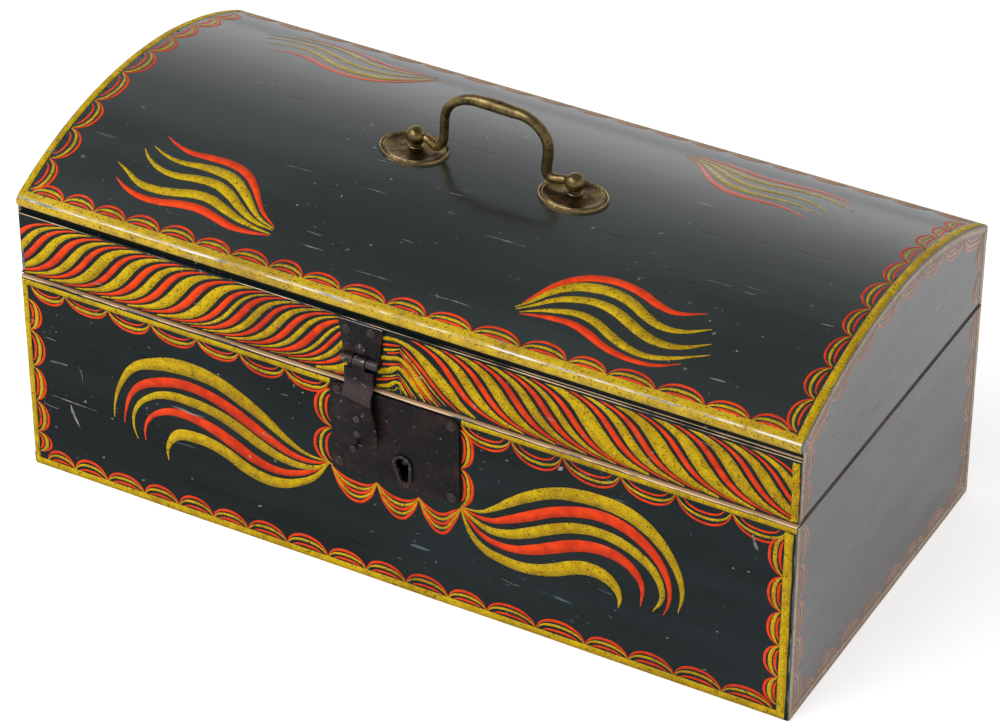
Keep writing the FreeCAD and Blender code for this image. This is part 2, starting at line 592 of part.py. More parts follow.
for side, start in END_STARTS:
    nodes[f"lid_{side}_end"] = cut(
        f"lid_{side}_end",
        common(f"lid_{side}_end_blank",
               box(f"lid_{side}_end_block", "sizes.board",
                   f"{HALF_DEPTH} - sizes.board - {LID_END_FRONT}", LID_BLOCK_HEIGHT,
                   start, LID_END_FRONT, LID_BOTTOM), under_dome),
        nodes["rail_nails"], nodes["dome_nails"])

# Handle. The balls of the posts carry the bail. Each post passes through its rosette and the dome board
# to a washer and a square nut inside the lid. The rosettes are oval and follow the curve of the lid.
HANDLE_Y = "sizes.handle_shift"
HANDLE_Z = f"({DOME_TOP} + sizes.handle_axis_height)"
POST_X = "sizes.handle_spacing/2"
ROSETTE_Y = f"({HANDLE_Y} + sizes.rosette_shift)"
ROSETTE_TOP = f"({DOME_TOP} + sizes.rosette_thickness)"
WASHER_TOP = f"({DOME_TOP} - sizes.dome_board_thickness - sizes.washer_clearance)"
WASHER_BOTTOM = f"({WASHER_TOP} - sizes.washer_thickness)"
TAIL_BOTTOM = f"({DOME_TOP} - sizes.dome_board_thickness - sizes.post_tail_length)"


def dome_layer(name, thickness, x):
    """A layer of even thickness that lies on the dome about a handle post."""
    size = "2*sizes.rosette_half_length + 2*sizes.overrun"
    start = f"{x} - sizes.rosette_half_length - sizes.overrun"
    return cut(name,
               rod(f"{name}_over", f"{DOME_RADIUS} + {thickness}", size, start, "0", DOME_CENTRE,
                   along="X"),
               rod(f"{name}_under", DOME_RADIUS, size, start, "0", DOME_CENTRE, along="X"))


def oval(name, inset, x):
    """A tall upright bar with a rosette's outline, smaller by an inset."""
    outline = bind(doc.addObject("Part::Ellipse", f"{name}_outline"),
                   {"MajorRadius": f"sizes.rosette_half_length - {inset}",
                    "MinorRadius": f"sizes.rosette_half_depth - {inset}"})
    place(outline, x, ROSETTE_Y, f"{DOME_TOP} - sizes.rosette_half_depth")
    bar = doc.addObject("Part::Extrusion", name)
    bar.Base, bar.DirMode, bar.Dir, bar.Solid = outline, "Custom", V(0, 0, 1), True
    return bind(bar, {"LengthFwd": "2*sizes.rosette_half_depth"})


def ring(name, inset, width, x):
    """A tall upright tube that follows a rosette's outline."""
    return cut(name, oval(f"{name}_outside", inset, x), oval(f"{name}_inside", f"({inset} + {width})", x))


shanks, washers, nuts = [], [], []
for side, sign in SIDES:
    x = f"{sign}*{POST_X}"
    shank = rod(f"post_shank_{side}", "sizes.post_shank_radius", f"{ROSETTE_TOP} - {TAIL_BOTTOM}",
                x, HANDLE_Y, TAIL_BOTTOM)
    shanks.append(shank)
    nodes[f"rosette_{side}"] = fuse(
        f"rosette_{side}",
        common(f"rosette_{side}_plate",
               cut(f"rosette_{side}_disc", oval(f"rosette_{side}_oval", "0", x), shank),
               dome_layer(f"rosette_{side}_layer", "sizes.rosette_thickness", x)),
        common(f"rosette_{side}_rim",
               ring(f"rosette_{side}_edge", "0", "sizes.rosette_rim_width", x),
               dome_layer(f"rosette_{side}_rim_layer", "sizes.rosette_rim_thickness", x)),
        common(f"rosette_{side}_line",
               ring(f"rosette_{side}_line_ring", "sizes.rosette_ring_inset",
                    "sizes.rosette_ring_width", x),
               dome_layer(f"rosette_{side}_line_layer", "sizes.rosette_ring_thickness", x)))
    foot_height = f"({HANDLE_Z} - sizes.post_ball_radius - {ROSETTE_TOP})"
    post_blank = fuse(
        f"handle_post_{side}_blank", shank,
        cone(f"post_foot_{side}", "sizes.post_foot_radius", "sizes.post_neck_radius", foot_height,
             x, HANDLE_Y, ROSETTE_TOP),
        rod(f"post_neck_{side}", "sizes.post_neck_radius", "sizes.post_ball_radius", x, HANDLE_Y,
            f"{ROSETTE_TOP} + {foot_height}"),
        ball(f"post_ball_{side}", "sizes.post_ball_radius", x, HANDLE_Y, HANDLE_Z))
    bore_length = "(sizes.bail_pin_length + sizes.bail_shoulder_gap)"
    bore_start = f"({POST_X} - sizes.post_ball_radius)"
    nodes[f"handle_post_{side}"] = cut(
        f"handle_post_{side}", post_blank,
        rod(f"bail_bore_{side}", "sizes.bail_pin_radius + sizes.pin_clearance",
            f"{bore_length} + sizes.overrun",
            f"{bore_start} - sizes.overrun" if side == "right" else f"-{bore_start} - {bore_length}",
            HANDLE_Y, HANDLE_Z, along="X"))
    washers.append(cut(
        f"washer_{side}",
        rod(f"washer_disc_{side}", "sizes.washer_radius", "sizes.washer_thickness", x, HANDLE_Y,
            WASHER_BOTTOM), shank))
    nuts.append(cut(
        f"nut_{side}",
        box(f"nut_block_{side}", "sizes.nut_width", "sizes.nut_width", "sizes.nut_thickness",
            f"{x} - sizes.nut_width/2", f"{HANDLE_Y} - sizes.nut_width/2",
            f"{WASHER_BOTTOM} - sizes.nut_thickness"), shank))
nodes["post_washers"] = group("post_washers", *washers)
nodes["post_nuts"] = group("post_nuts", *nuts)

# Dome board. Its section is two arcs about one centre, closed in front by a nose that is a half round
# of the board's thickness and behind by an upright edge.
doc.recompute()
centre_z, top_radius = number(DOME_CENTRE), number(DOME_RADIUS)
board_thickness = number("sizes.dome_board_thickness")
under_radius, nose_radius = top_radius - board_thickness, board_thickness/2
back_y = number(HALF_DEPTH)
nose_y = -(back_y - nose_radius)
nose_way = V(0, nose_y, ((top_radius - nose_radius)**2 - nose_y**2)**0.5).normalize()
nose_out = V(0, -nose_way.z, nose_way.y)
dome_origin = V(-number(HALF_LENGTH), 0, centre_z)
top_back = dome_origin + V(0, back_y, (top_radius**2 - back_y**2)**0.5)
under_back = dome_origin + V(0, back_y, (under_radius**2 - back_y**2)**0.5)
top_front = dome_origin + nose_way*top_radius
under_front = dome_origin + nose_way*under_radius
nose_tip = dome_origin + nose_way*(top_radius - nose_radius) + nose_out*nose_radius
dome_section = Part.Wire([
    Part.Arc(top_back, dome_origin + V(0, 0, top_radius), top_front).toShape(),
    Part.Arc(top_front, nose_tip, under_front).toShape(),
    Part.Arc(under_front, dome_origin + V(0, 0, under_radius), under_back).toShape(),
    Part.LineSegment(under_back, top_back).toShape()])
dome_blank = doc.addObject("Part::Feature", "dome_board_blank")
dome_blank.Shape = Part.Face(dome_section).extrude(V(number("sizes.case_length"), 0, 0))
nodes["dome_board"] = cut("dome_board", dome_blank, nodes["dome_nails"], *shanks)

# Hasp strap, drawn about its pin. It hangs closed, and a bend under the knuckle steps it out over the
# edge of the case. The staple that the bolt catches is riveted through it, and a small knob lifts it.
STRAP_FRONT = "(-sizes.hasp_barrel_radius - sizes.strap_step)"
STAPLE_END = (f"({FRONT} + 2*sizes.bolt_clearance + sizes.bolt_thickness + sizes.staple_wire_radius"
              f" - {HASP_Y})")
strap_outline_shares = ((0.0, 0.08), (0.0, 0.36), (0.3, 0.52), (1.0, 0.8), (0.97, 0.86), (0.5, 0.905),
                        (-0.3, 0.95))
tip_width_share = 0.24


def strap_corner(sign, widening, down):
    """A point of the strap's outline: its share of the widening and its share of the length."""
    half = f"(sizes.strap_width/2 + {widening}*(sizes.strap_foot_width - sizes.strap_width)/2)"
    return (f"{sign}*{half}", f"-{down}*sizes.strap_length")


strap_outline = [strap_corner("-1", *shares) for shares in strap_outline_shares]
strap_outline += [(f"{sign}*{tip_width_share}*sizes.strap_width/2", "-sizes.strap_length")
                  for sign in ("-1", "1")]
strap_outline += [strap_corner("1", *shares) for shares in reversed(strap_outline_shares)]
strap_face = plate("strap_face", strap_outline, f"-2*{STRAP_FRONT}")
BEND_END = "(sizes.strap_bend_start + sizes.strap_bend_length)"
strap_bend = plate(
    "strap_bend",
    (("-sizes.hasp_barrel_radius", "0"), ("-sizes.hasp_barrel_radius", "-sizes.strap_bend_start"),
     (STRAP_FRONT, f"-{BEND_END}"), (STRAP_FRONT, "-sizes.strap_length"),
     (f"{STRAP_FRONT} + sizes.strap_thickness", "-sizes.strap_length"),
     (f"{STRAP_FRONT} + sizes.strap_thickness", f"-{BEND_END}"),
     ("-sizes.hasp_barrel_radius + sizes.strap_thickness", "-sizes.strap_bend_start"),
     ("-sizes.hasp_barrel_radius + sizes.strap_thickness", "0")),
    "2*sizes.strap_foot_width")
turn(strap_bend, V(0, 0, 1), "90 deg")
strap_leaf = common("strap_leaf", strap_face, strap_bend)
HALF_KNUCKLE = "sizes.hasp_knuckle_width/2"
strap_tab = box("strap_tab", "sizes.hasp_knuckle_width", "sizes.strap_thickness",
                f"2*{KNUCKLE_CLEAR}", f"-{HALF_KNUCKLE}", "-sizes.hasp_barrel_radius",
                f"-2*{KNUCKLE_CLEAR}")
strap_barrel = rod("strap_barrel", "sizes.hasp_barrel_radius", "sizes.hasp_knuckle_width",
                   f"-{HALF_KNUCKLE}", "0", "0", along="X")
strap_bore = rod("strap_bore", "sizes.hasp_pin_radius + sizes.pin_clearance",
                 "sizes.hasp_knuckle_width + 2*sizes.overrun", f"-{HALF_KNUCKLE} - sizes.overrun",
                 "0", "0", along="X")
strap_clear = rod("strap_clear", KNUCKLE_CLEAR, "sizes.strap_foot_width", "-sizes.strap_foot_width/2",
                  "0", "0", along="X")
staple_pieces = []
LEG_LENGTH = f"({STAPLE_END} - {STRAP_FRONT})"
for leg, sign in (("upper", "-1"), ("lower", "1")):
    z = f"-(sizes.staple_reach + {sign}*sizes.staple_spread/2)"
    staple_pieces += [
        rod(f"staple_leg_{leg}", "sizes.staple_wire_radius", LEG_LENGTH, "0", STRAP_FRONT, z, along="Y"),
        cone(f"staple_head_{leg}", "sizes.staple_head_radius/2", "sizes.staple_head_radius",
             "sizes.staple_head_height", "0", f"{STRAP_FRONT} - sizes.staple_head_height", z,
             along="Y"),
        ball(f"staple_corner_{leg}", "sizes.staple_wire_radius", "0", STAPLE_END, z)]
staple_pieces.append(rod("staple_bar", "sizes.staple_wire_radius", "sizes.staple_spread", "0", STAPLE_END,
                         "-sizes.staple_reach - sizes.staple_spread/2"))
nodes["hasp_staple"] = fuse("hasp_staple", *staple_pieces)
staple_holes = group("staple_holes", staple_pieces[0], staple_pieces[3])
knob_z = "-(sizes.strap_length - sizes.strap_knob_radius)"
knob_stem = rod("knob_stem", "sizes.staple_wire_radius", "sizes.strap_thickness + sizes.strap_knob_radius",
                "0", f"{STRAP_FRONT} - sizes.strap_knob_radius", knob_z, along="Y")
nodes["hasp_knob"] = fuse(
    "hasp_knob", knob_stem,
    ball("knob_ball", "sizes.strap_knob_radius", "0", f"{STRAP_FRONT} - sizes.strap_knob_radius",
         knob_z))
nodes["hasp_strap"] = cut(
    "hasp_strap",
    fuse("hasp_strap_blank", cut("strap_leaf_clear", strap_leaf, strap_clear), strap_tab, strap_barrel),
    strap_bore, staple_holes, knob_stem)
for name in ("hasp_strap", "hasp_staple", "hasp_knob"):
    place(nodes[name], HASP_X, HASP_Y, HASP_Z)

# Bail, a bent round bar with a swelled grip. Each arm is straight runs joined by arcs from a ball to the
# grip, given by the corners that its centre line rounds off.
ARM_X = f"({POST_X} - sizes.post_ball_radius - sizes.bail_shoulder_gap)"
arm_x, elbow_reach = number(ARM_X), number("sizes.bail_elbow_reach")
half_span, bail_height = number("sizes.bail_half_span"), number("sizes.bail_height")
arm_radius, grip_radius = number("sizes.bail_arm_radius"), number("sizes.bail_grip_radius")
elbow_bend, leg_bend = number("sizes.bail_elbow_bend"), number("sizes.bail_leg_bend")
shoulder_bend = number("sizes.bail_shoulder_bend")
start_share, elbow_share = 0.56, 0.37
leg_corner_shares = ((0.965, 0.13), (1.024, 0.543))
shoulder_share = 0.79
arm_corners = [V(arm_x, 0, 0), V(arm_x - start_share*elbow_reach, 0, 0),
               V(half_span + elbow_share*elbow_reach, 0, -number("sizes.bail_drop"))]
arm_corners += [V(across*half_span, 0, up*bail_height) for across, up in leg_corner_shares]
arm_corners += [V(shoulder_share*half_span, 0, bail_height), V(0, 0, bail_height)]
arm_bends = (elbow_bend, elbow_bend, leg_bend, leg_bend, shoulder_bend)


def rounded_path(corners, bends):
    """Straight runs between corners, with a tangent arc of the given radius at each inner corner."""
    edges, start = [], corners[0]
    for before, corner, after, bend in zip(corners, corners[1:], corners[2:], bends):
        way_in, way_out = (before - corner).normalize(), (after - corner).normalize()
        half_angle = way_in.getAngle(way_out)/2
        setback = bend/math.tan(half_angle)
        bisector = (way_in + way_out).normalize()
        arc_start, arc_end = corner + way_in*setback, corner + way_out*setback
        arc_middle = corner + bisector*(bend/math.sin(half_angle) - bend)
        edges += [Part.LineSegment(start, arc_start).toShape(),
                  Part.Arc(arc_start, arc_middle, arc_end).toShape()]
        start = arc_end
    return Part.Wire(edges), start


arm_path, grip_end = rounded_path(arm_corners, arm_bends)
arm_circle = Part.Wire([Part.Circle(arm_corners[0], V(1, 0, 0), arm_radius).toShape()])
right_arm = arm_path.makePipeShell([arm_circle], True, False)
grip_profile = Part.Wire([
    Part.Arc(grip_end + V(0, 0, arm_radius), V(0, 0, bail_height + grip_radius),
             V(-grip_end.x, 0, bail_height + arm_radius)).toShape(),
    Part.makePolygon([V(-grip_end.x, 0, bail_height + arm_radius), V(-grip_end.x, 0, bail_height),
                      grip_end, grip_end + V(0, 0, arm_radius)])])
grip = Part.Face(grip_profile).revolve(V(0, 0, bail_height), V(1, 0, 0), 360)
bail_parts = []
for part_name, part_shape in (("bail_right_arm", right_arm), ("bail_grip", grip),
                              ("bail_left_arm", right_arm.mirror(V(0, 0, 0), V(1, 0, 0)))):
    bail_parts.append(doc.addObject("Part::Feature", part_name))
    bail_parts[-1].Shape = part_shape
pin_length = "(sizes.bail_pin_length + sizes.bail_pin_radius)"
for side, start in (("right", f"{ARM_X} - sizes.bail_pin_radius"),
                    ("left", f"-{ARM_X} - sizes.bail_pin_length")):
    bail_parts.append(rod(f"bail_pin_{side}", "sizes.bail_pin_radius", pin_length, start, "0", "0",
                          along="X"))
nodes["bail"] = place(fuse("bail", *bail_parts), "0", HANDLE_Y, HANDLE_Z)

doc.recompute()

# Every object has to be sound, and every piece valid, before anything is written
for item in doc.Objects:
    if any(state in ("Invalid", "Error") for state in item.State):
        raise RuntimeError(f"{item.Name} failed: {item.State}")
os.makedirs("parts", exist_ok=True)
for name, item in nodes.items():
    shape = item.Shape
    if shape.isNull() or not shape.isValid() or shape.Volume <= 0:
        raise RuntimeError(f"{name} has no valid shape")
    item.Label = name
    print(name, len(shape.Solids), round(shape.Volume, 1))
    shape.exportStep(f"parts/{name}.step")
print("nodes", len(nodes))
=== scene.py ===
import math

import bmesh
import bpy
from mathutils import Matrix, Vector
from mathutils.geometry import intersect_point_line


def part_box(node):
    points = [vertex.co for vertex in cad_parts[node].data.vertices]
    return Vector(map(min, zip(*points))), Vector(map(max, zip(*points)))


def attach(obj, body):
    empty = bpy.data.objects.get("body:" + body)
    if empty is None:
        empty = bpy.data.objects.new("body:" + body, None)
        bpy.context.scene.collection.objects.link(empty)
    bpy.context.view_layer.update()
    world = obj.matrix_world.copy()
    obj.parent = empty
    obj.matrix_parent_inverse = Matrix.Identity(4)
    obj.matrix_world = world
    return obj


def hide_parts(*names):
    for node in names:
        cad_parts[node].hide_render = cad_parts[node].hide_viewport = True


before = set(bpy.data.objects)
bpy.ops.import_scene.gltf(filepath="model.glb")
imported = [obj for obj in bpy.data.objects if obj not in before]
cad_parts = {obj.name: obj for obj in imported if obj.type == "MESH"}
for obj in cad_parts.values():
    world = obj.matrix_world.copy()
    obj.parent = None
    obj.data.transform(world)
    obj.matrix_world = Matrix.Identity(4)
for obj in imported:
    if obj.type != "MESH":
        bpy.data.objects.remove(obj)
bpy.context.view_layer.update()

# Studio of the photograph: a long lens from the right and above, a pale floor that runs out of sight, a
# soft white surround that is dimmer overhead, and one wide lamp in front on the left.
MM = 0.001
PHOTO_WIDTH_PX, FOCAL_PX, SENSOR_WIDTH = 1000, 4139.5, 36.0
CAMERA_PLACE = (0.8314, -1.4992, 1.2750)
CAMERA_AZIMUTH, CAMERA_ELEVATION = math.radians(28.995), math.radians(35.062)
FLOOR_HALF_WIDTH, FLOOR_COLOUR, FLOOR_GLOW = 9.0, (0.90, 0.90, 0.91, 1), 0.55
SURROUND_LOW, SURROUND_HIGH, SURROUND_STRENGTH = (1.0, 1.0, 1.0, 1), (0.27, 0.27, 0.28, 1), 0.95
DIMMER_FROM, DIMMEST_FROM = 0.25, 0.85
BACKDROP_WHITE = (1.1, 1.1, 1.1, 1)
LAMP_PLACE, LAMP_WIDTH, LAMP_DEPTH, LAMP_POWER = (-0.95, -1.35, 1.75), 2.4, 1.6, 33.5


class Tree:
    """A node tree, with short ways to add to it. Inputs are values or the outputs of other nodes."""

    def __init__(self, tree):
        self.tree = tree

    def fill(self, node, inputs):
        """Sets or joins some inputs of a node."""
        for name, value in inputs.items():
            if isinstance(value, bpy.types.NodeSocket):
                self.tree.links.new(value, node.inputs[name])
            else:
                node.inputs[name].default_value = value

    def node(self, kind, inputs=None, **settings):
        """The outputs of a new node."""
        made = self.tree.nodes.new(kind)
        for name, value in settings.items():
            setattr(made, name, value)
        self.fill(made, inputs or {})
        return made.outputs

    def calc(self, operation, first, second=0.0):
        """The result of a sum on one or two numbers."""
        return self.node("ShaderNodeMath", {0: first, 1: second}, operation=operation)[0]

    def plus(self, first, second):
        """One number and another."""
        return self.calc("ADD", first, second)

    def minus(self, first, second):
        """One number less another."""
        return self.calc("SUBTRACT", first, second)

    def times(self, first, second):
        """One number times another."""
        return self.calc("MULTIPLY", first, second)

    def larger(self, first, second):
        """The larger of two numbers."""
        return self.calc("MAXIMUM", first, second)

    def split(self, vector):
        """The three numbers of a vector, by X, Y and Z."""
        return self.node("ShaderNodeSeparateXYZ", {0: vector})

    def vector(self, x=0.0, y=0.0, z=0.0):
        """A vector from three numbers."""
        return self.node("ShaderNodeCombineXYZ", {0: x, 1: y, 2: z})[0]

    def blend(self, factor, first, second):
        """A colour between two others."""
        return self.node("ShaderNodeMix", {0: factor, 6: first, 7: second}, data_type="RGBA")[2]

    def ramp(self, value, low, high):
        """0 below low, 1 above high and even between them."""
        return self.node("ShaderNodeMapRange", {"Value": value, "From Min": low, "From Max": high})["Result"]


class Material(Tree):
    """A new material, with the shader's inputs named by words joined with underscores."""

    def __init__(self, name, **inputs):
        self.material = bpy.data.materials.new(name)
        self.material.use_nodes = True
        super().__init__(self.material.node_tree)
        self.shade(**inputs)
        self.place = self.node("ShaderNodeTexCoord")["Object"]

    def shade(self, **inputs):
        """The finished material, after some inputs of its shader are set or joined."""
        self.fill(self.tree.nodes["Principled BSDF"],
                  {name.replace("_", " "): value for name, value in inputs.items()})
        return self.material

    def noise(self, scale, stretch=(1, 1, 1), detail=4.0):
        """Noise that reads the place on the object, drawn out by different amounts along the three axes."""
        spread = self.node("ShaderNodeMapping", {"Vector": self.place, "Scale": stretch})[0]
        return self.node("ShaderNodeTexNoise", {"Vector": spread, "Scale": scale, "Detail": detail})["Fac"]

    def bump(self, height, strength, distance):
        """The way that each point of a rough surface faces."""
        return self.node("ShaderNodeBump", {"Height": height, "Strength": strength, "Distance": distance})[0]


def new_object(name, data):
    """An object for a mesh, curve, lamp or camera, in the scene."""
    made = bpy.data.objects.new(name, data)
    scene.collection.objects.link(made)
    return made


scene = bpy.context.scene
scene.view_settings.view_transform = "Standard"
camera_data = bpy.data.cameras.new("camera")
camera_data.sensor_width = SENSOR_WIDTH
camera_data.lens = FOCAL_PX/PHOTO_WIDTH_PX*SENSOR_WIDTH
camera = new_object("camera", camera_data)
camera.location = CAMERA_PLACE
camera.rotation_euler = (math.pi/2 - CAMERA_ELEVATION, 0, CAMERA_AZIMUTH)
scene.camera = camera

world = bpy.data.worlds.new("surround")
scene.world = world
world.use_nodes = True
sky = Tree(world.node_tree)
sky_height = sky.split(sky.node("ShaderNodeTexCoord")["Generated"])["Z"]
sky_colour = sky.blend(sky.ramp(sky_height, DIMMER_FROM, DIMMEST_FROM), SURROUND_LOW, SURROUND_HIGH)
rays = sky.node("ShaderNodeLightPath")
seen = sky.larger(rays["Is Camera Ray"], rays["Is Transmission Ray"])
sky.fill(world.node_tree.nodes["Background"], {"Color": sky.blend(seen, sky_colour, BACKDROP_WHITE),
                                               "Strength": SURROUND_STRENGTH})

lamp_data = bpy.data.lights.new("lamp", "AREA")
lamp_data.shape = "RECTANGLE"
lamp_data.size, lamp_data.size_y, lamp_data.energy = LAMP_WIDTH, LAMP_DEPTH, LAMP_POWER
lamp = new_object("lamp", lamp_data)
lamp.location = LAMP_PLACE
lamp.rotation_euler = (-Vector(LAMP_PLACE)).to_track_quat("-Z", "Y").to_euler()

floor_mesh = bpy.data.meshes.new("floor")
floor_mesh.from_pydata([(x*FLOOR_HALF_WIDTH, y*FLOOR_HALF_WIDTH, 0)
                        for x, y in ((-1, -1), (1, -1), (1, 1), (-1, 1))], [], [(0, 1, 2, 3)])
floor = new_object("floor", floor_mesh)
paper = Material("floor_paper", Roughness=1.0, Specular_IOR_Level=0.0, Base_Color=FLOOR_COLOUR,
                 Emission_Color=SURROUND_LOW)
glow = paper.times(paper.node("ShaderNodeLightPath")["Is Camera Ray"], FLOOR_GLOW)
floor_mesh.materials.append(paper.shade(Emission_Strength=glow))

# Case: a bottom board and four walls of thin pine, nailed at the corners, with a mortise for the lock in
# the front board. The outside is painted and varnished, the inside is bare, and the arrises that hands and
# shelves touch are rubbed round.
WAYS = {"left": Vector((-1, 0, 0)), "right": Vector((1, 0, 0)), "front": Vector((0, -1, 0)),
        "back": Vector((0, 1, 0)), "bottom": Vector((0, 0, -1)), "top": Vector((0, 0, 1))}
ARRIS, SHARP_ARRIS = 1.3*MM, 0.5*MM
MORTISE_CLEARANCE, MORTISE_OPEN = 0.2*MM, 5.0*MM
ALONG_X, ALONG_Y = (0.12, 1, 1), (1, 0.12, 1)
PALE_WOOD, PRIMER, PAINTED_DENT_SHADE = (0.86, 0.62, 0.39, 1), (0.085, 0.125, 0.15, 1), (0.004, 0.005, 0.006, 1)
PALE_FLECK, BLUE_FLECK = (0.30, 0.27, 0.22, 1), (0.10, 0.17, 0.20, 1)
PINE, PINE_DARK = (0.56, 0.36, 0.18, 1), (0.36, 0.20, 0.09, 1)
# Material indices: faces that look left or right take the pale end paint, which is painted sheen; inside
# faces are bare.
SIDEWAYS_SHEEN, BARE = 1, 2


def knocks(paint, stretch):
    """Where small knocks and scratches have broken the varnish: 0 or 1."""
    where = paint.ramp(paint.noise(22, detail=2.0), 0.45, 0.57)
    flakes = paint.ramp(paint.noise(330, detail=3.0), 0.70, 0.72)
    scratches = paint.ramp(paint.noise(300, stretch, 2.0), 0.725, 0.75)
    return paint.times(where, paint.larger(flakes, scratches))


def rubbed(paint, low=0.55, high=0.75, grain=120):
    """How far an arris has lost its paint, from the mesh's own mark and some unevenness."""
    mark = paint.node("ShaderNodeAttribute", attribute_name="worn")["Fac"]
    uneven = paint.times(paint.minus(paint.noise(grain, (0.25, 0.25, 1)), 0.5), 1.6)
    present = paint.calc("GREATER_THAN", mark, 0.02)
    return paint.times(present, paint.ramp(paint.plus(mark, uneven), low, high))


def painted_ground(name, dark, light, stretch, roughness, specular, coat, dented=0.70, dent_scale=210):
    """Old dark oil paint under varnish, brushed along the grain, with dents, knocks and rubbed arrises."""
    paint = Material(name, Roughness=roughness, Specular_IOR_Level=specular, Coat_Weight=coat,
                     Coat_Roughness=0.16)
    cloudy = paint.noise(7)
    body = paint.ramp(paint.plus(paint.noise(55, stretch), cloudy), 0.8, 1.25)
    dents = paint.ramp(paint.noise(dent_scale, stretch, 1.0), dented, dented + 0.04)
    # The dents' near-black colour is painted shade in the pits, over the bump that they also make.
    colour = paint.blend(paint.times(dents, 0.8), paint.blend(body, dark, light), PAINTED_DENT_SHADE)
    fleck = paint.blend(paint.ramp(cloudy, 0.4, 0.6), PALE_FLECK, BLUE_FLECK)
    colour = paint.blend(paint.times(knocks(paint, stretch), 0.75), colour, fleck)
    sideways = paint.calc("ABSOLUTE", paint.split(paint.node("ShaderNodeNewGeometry")["Normal"])["X"])
    primed = paint.larger(paint.ramp(sideways, 0.15, 0.3), paint.ramp(paint.noise(45), 0.56, 0.62))
    colour = paint.blend(rubbed(paint), colour, paint.blend(primed, PALE_WOOD, PRIMER))
    relief = paint.minus(paint.noise(240, stretch, 3.0), dents)
    return paint.shade(Base_Color=colour, Normal=paint.bump(relief, 0.24, 0.25*MM))


front_paint = painted_ground("front_paint", (0.006, 0.010, 0.0105, 1), (0.014, 0.022, 0.023, 1), ALONG_X,
                             0.34, 0.14, 0.0)
# Painted sheen: the ends are given a pale grey in place of the front's dark ground, standing in for the grey
# sheen of their varnish.
end_paint = painted_ground("end_paint", (0.120, 0.116, 0.115, 1), (0.175, 0.169, 0.165, 1), ALONG_Y,
                           0.30, 0.75, 0.9, 0.685, 560)
pine = Material("bare_pine", Roughness=0.72)
year_rings = pine.noise(60, (0.08, 0.5, 1), 5.0)
bare_pine = pine.shade(Base_Color=pine.blend(pine.ramp(year_rings, 0.38, 0.66), PINE, PINE_DARK),
                       Normal=pine.bump(year_rings, 0.25, 0.3*MM))


def smoothed(shape):
    """A bmesh with its normals turned outward and its faces smooth."""
    bmesh.ops.recalc_face_normals(shape, faces=shape.faces)
    for face in shape.faces:
        face.smooth = True
    return shape


def mesh_of(name, shape):
    """The mesh of a bmesh, which is freed."""
    mesh = bpy.data.meshes.new(name)
    shape.to_mesh(mesh)
    shape.free()
    return mesh


def bmesh_of(meshes):
    """One bmesh of some meshes, which are removed."""
    shape = bmesh.new()
    for mesh in meshes:
        shape.from_mesh(mesh)
        bpy.data.meshes.remove(mesh)
    return shape


def finished(name, body, shape, coats, replaced=(), sharp=35.0):
    """A piece from a bmesh, with its materials and body set, and the CAD nodes that it replaces hidden."""
    mesh = mesh_of(name, shape)
    if sharp:
        mesh.set_sharp_from_angle(angle=math.radians(sharp))
    for coat in coats:
        mesh.materials.append(coat)
    made = new_object(name, mesh)
    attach(made, body)
    if replaced:
        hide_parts(*replaced)
    return made


def looks(normal, way, least):
    """Whether a face looks left, right, to the front, to the back, down or up."""
    return normal.dot(WAYS[way]) > least


def less_block(shape, low, high):
    """A bmesh with a block cut out of it, bare inside."""
    block = bmesh.new()
    bmesh.ops.create_cube(
        block, matrix=Matrix.Translation((low + high)/2) @ Matrix.Diagonal(high - low).to_4x4())
    for face in block.faces:
        face.material_index = BARE
    hosts = []
    for part in (shape, block):
        mesh = mesh_of("part", part)
        for coat in (front_paint, end_paint, bare_pine):
            mesh.materials.append(coat)
        hosts.append(new_object("part", mesh))
    less = hosts[0].modifiers.new("less", "BOOLEAN")
    less.operation, less.solver, less.object = "DIFFERENCE", "EXACT", hosts[1]
    bpy.context.view_layer.update()
    cut = bmesh.new()
    cut.from_object(hosts[0], bpy.context.evaluated_depsgraph_get())
    for host in hosts:
        bpy.data.objects.remove(host)
    return cut


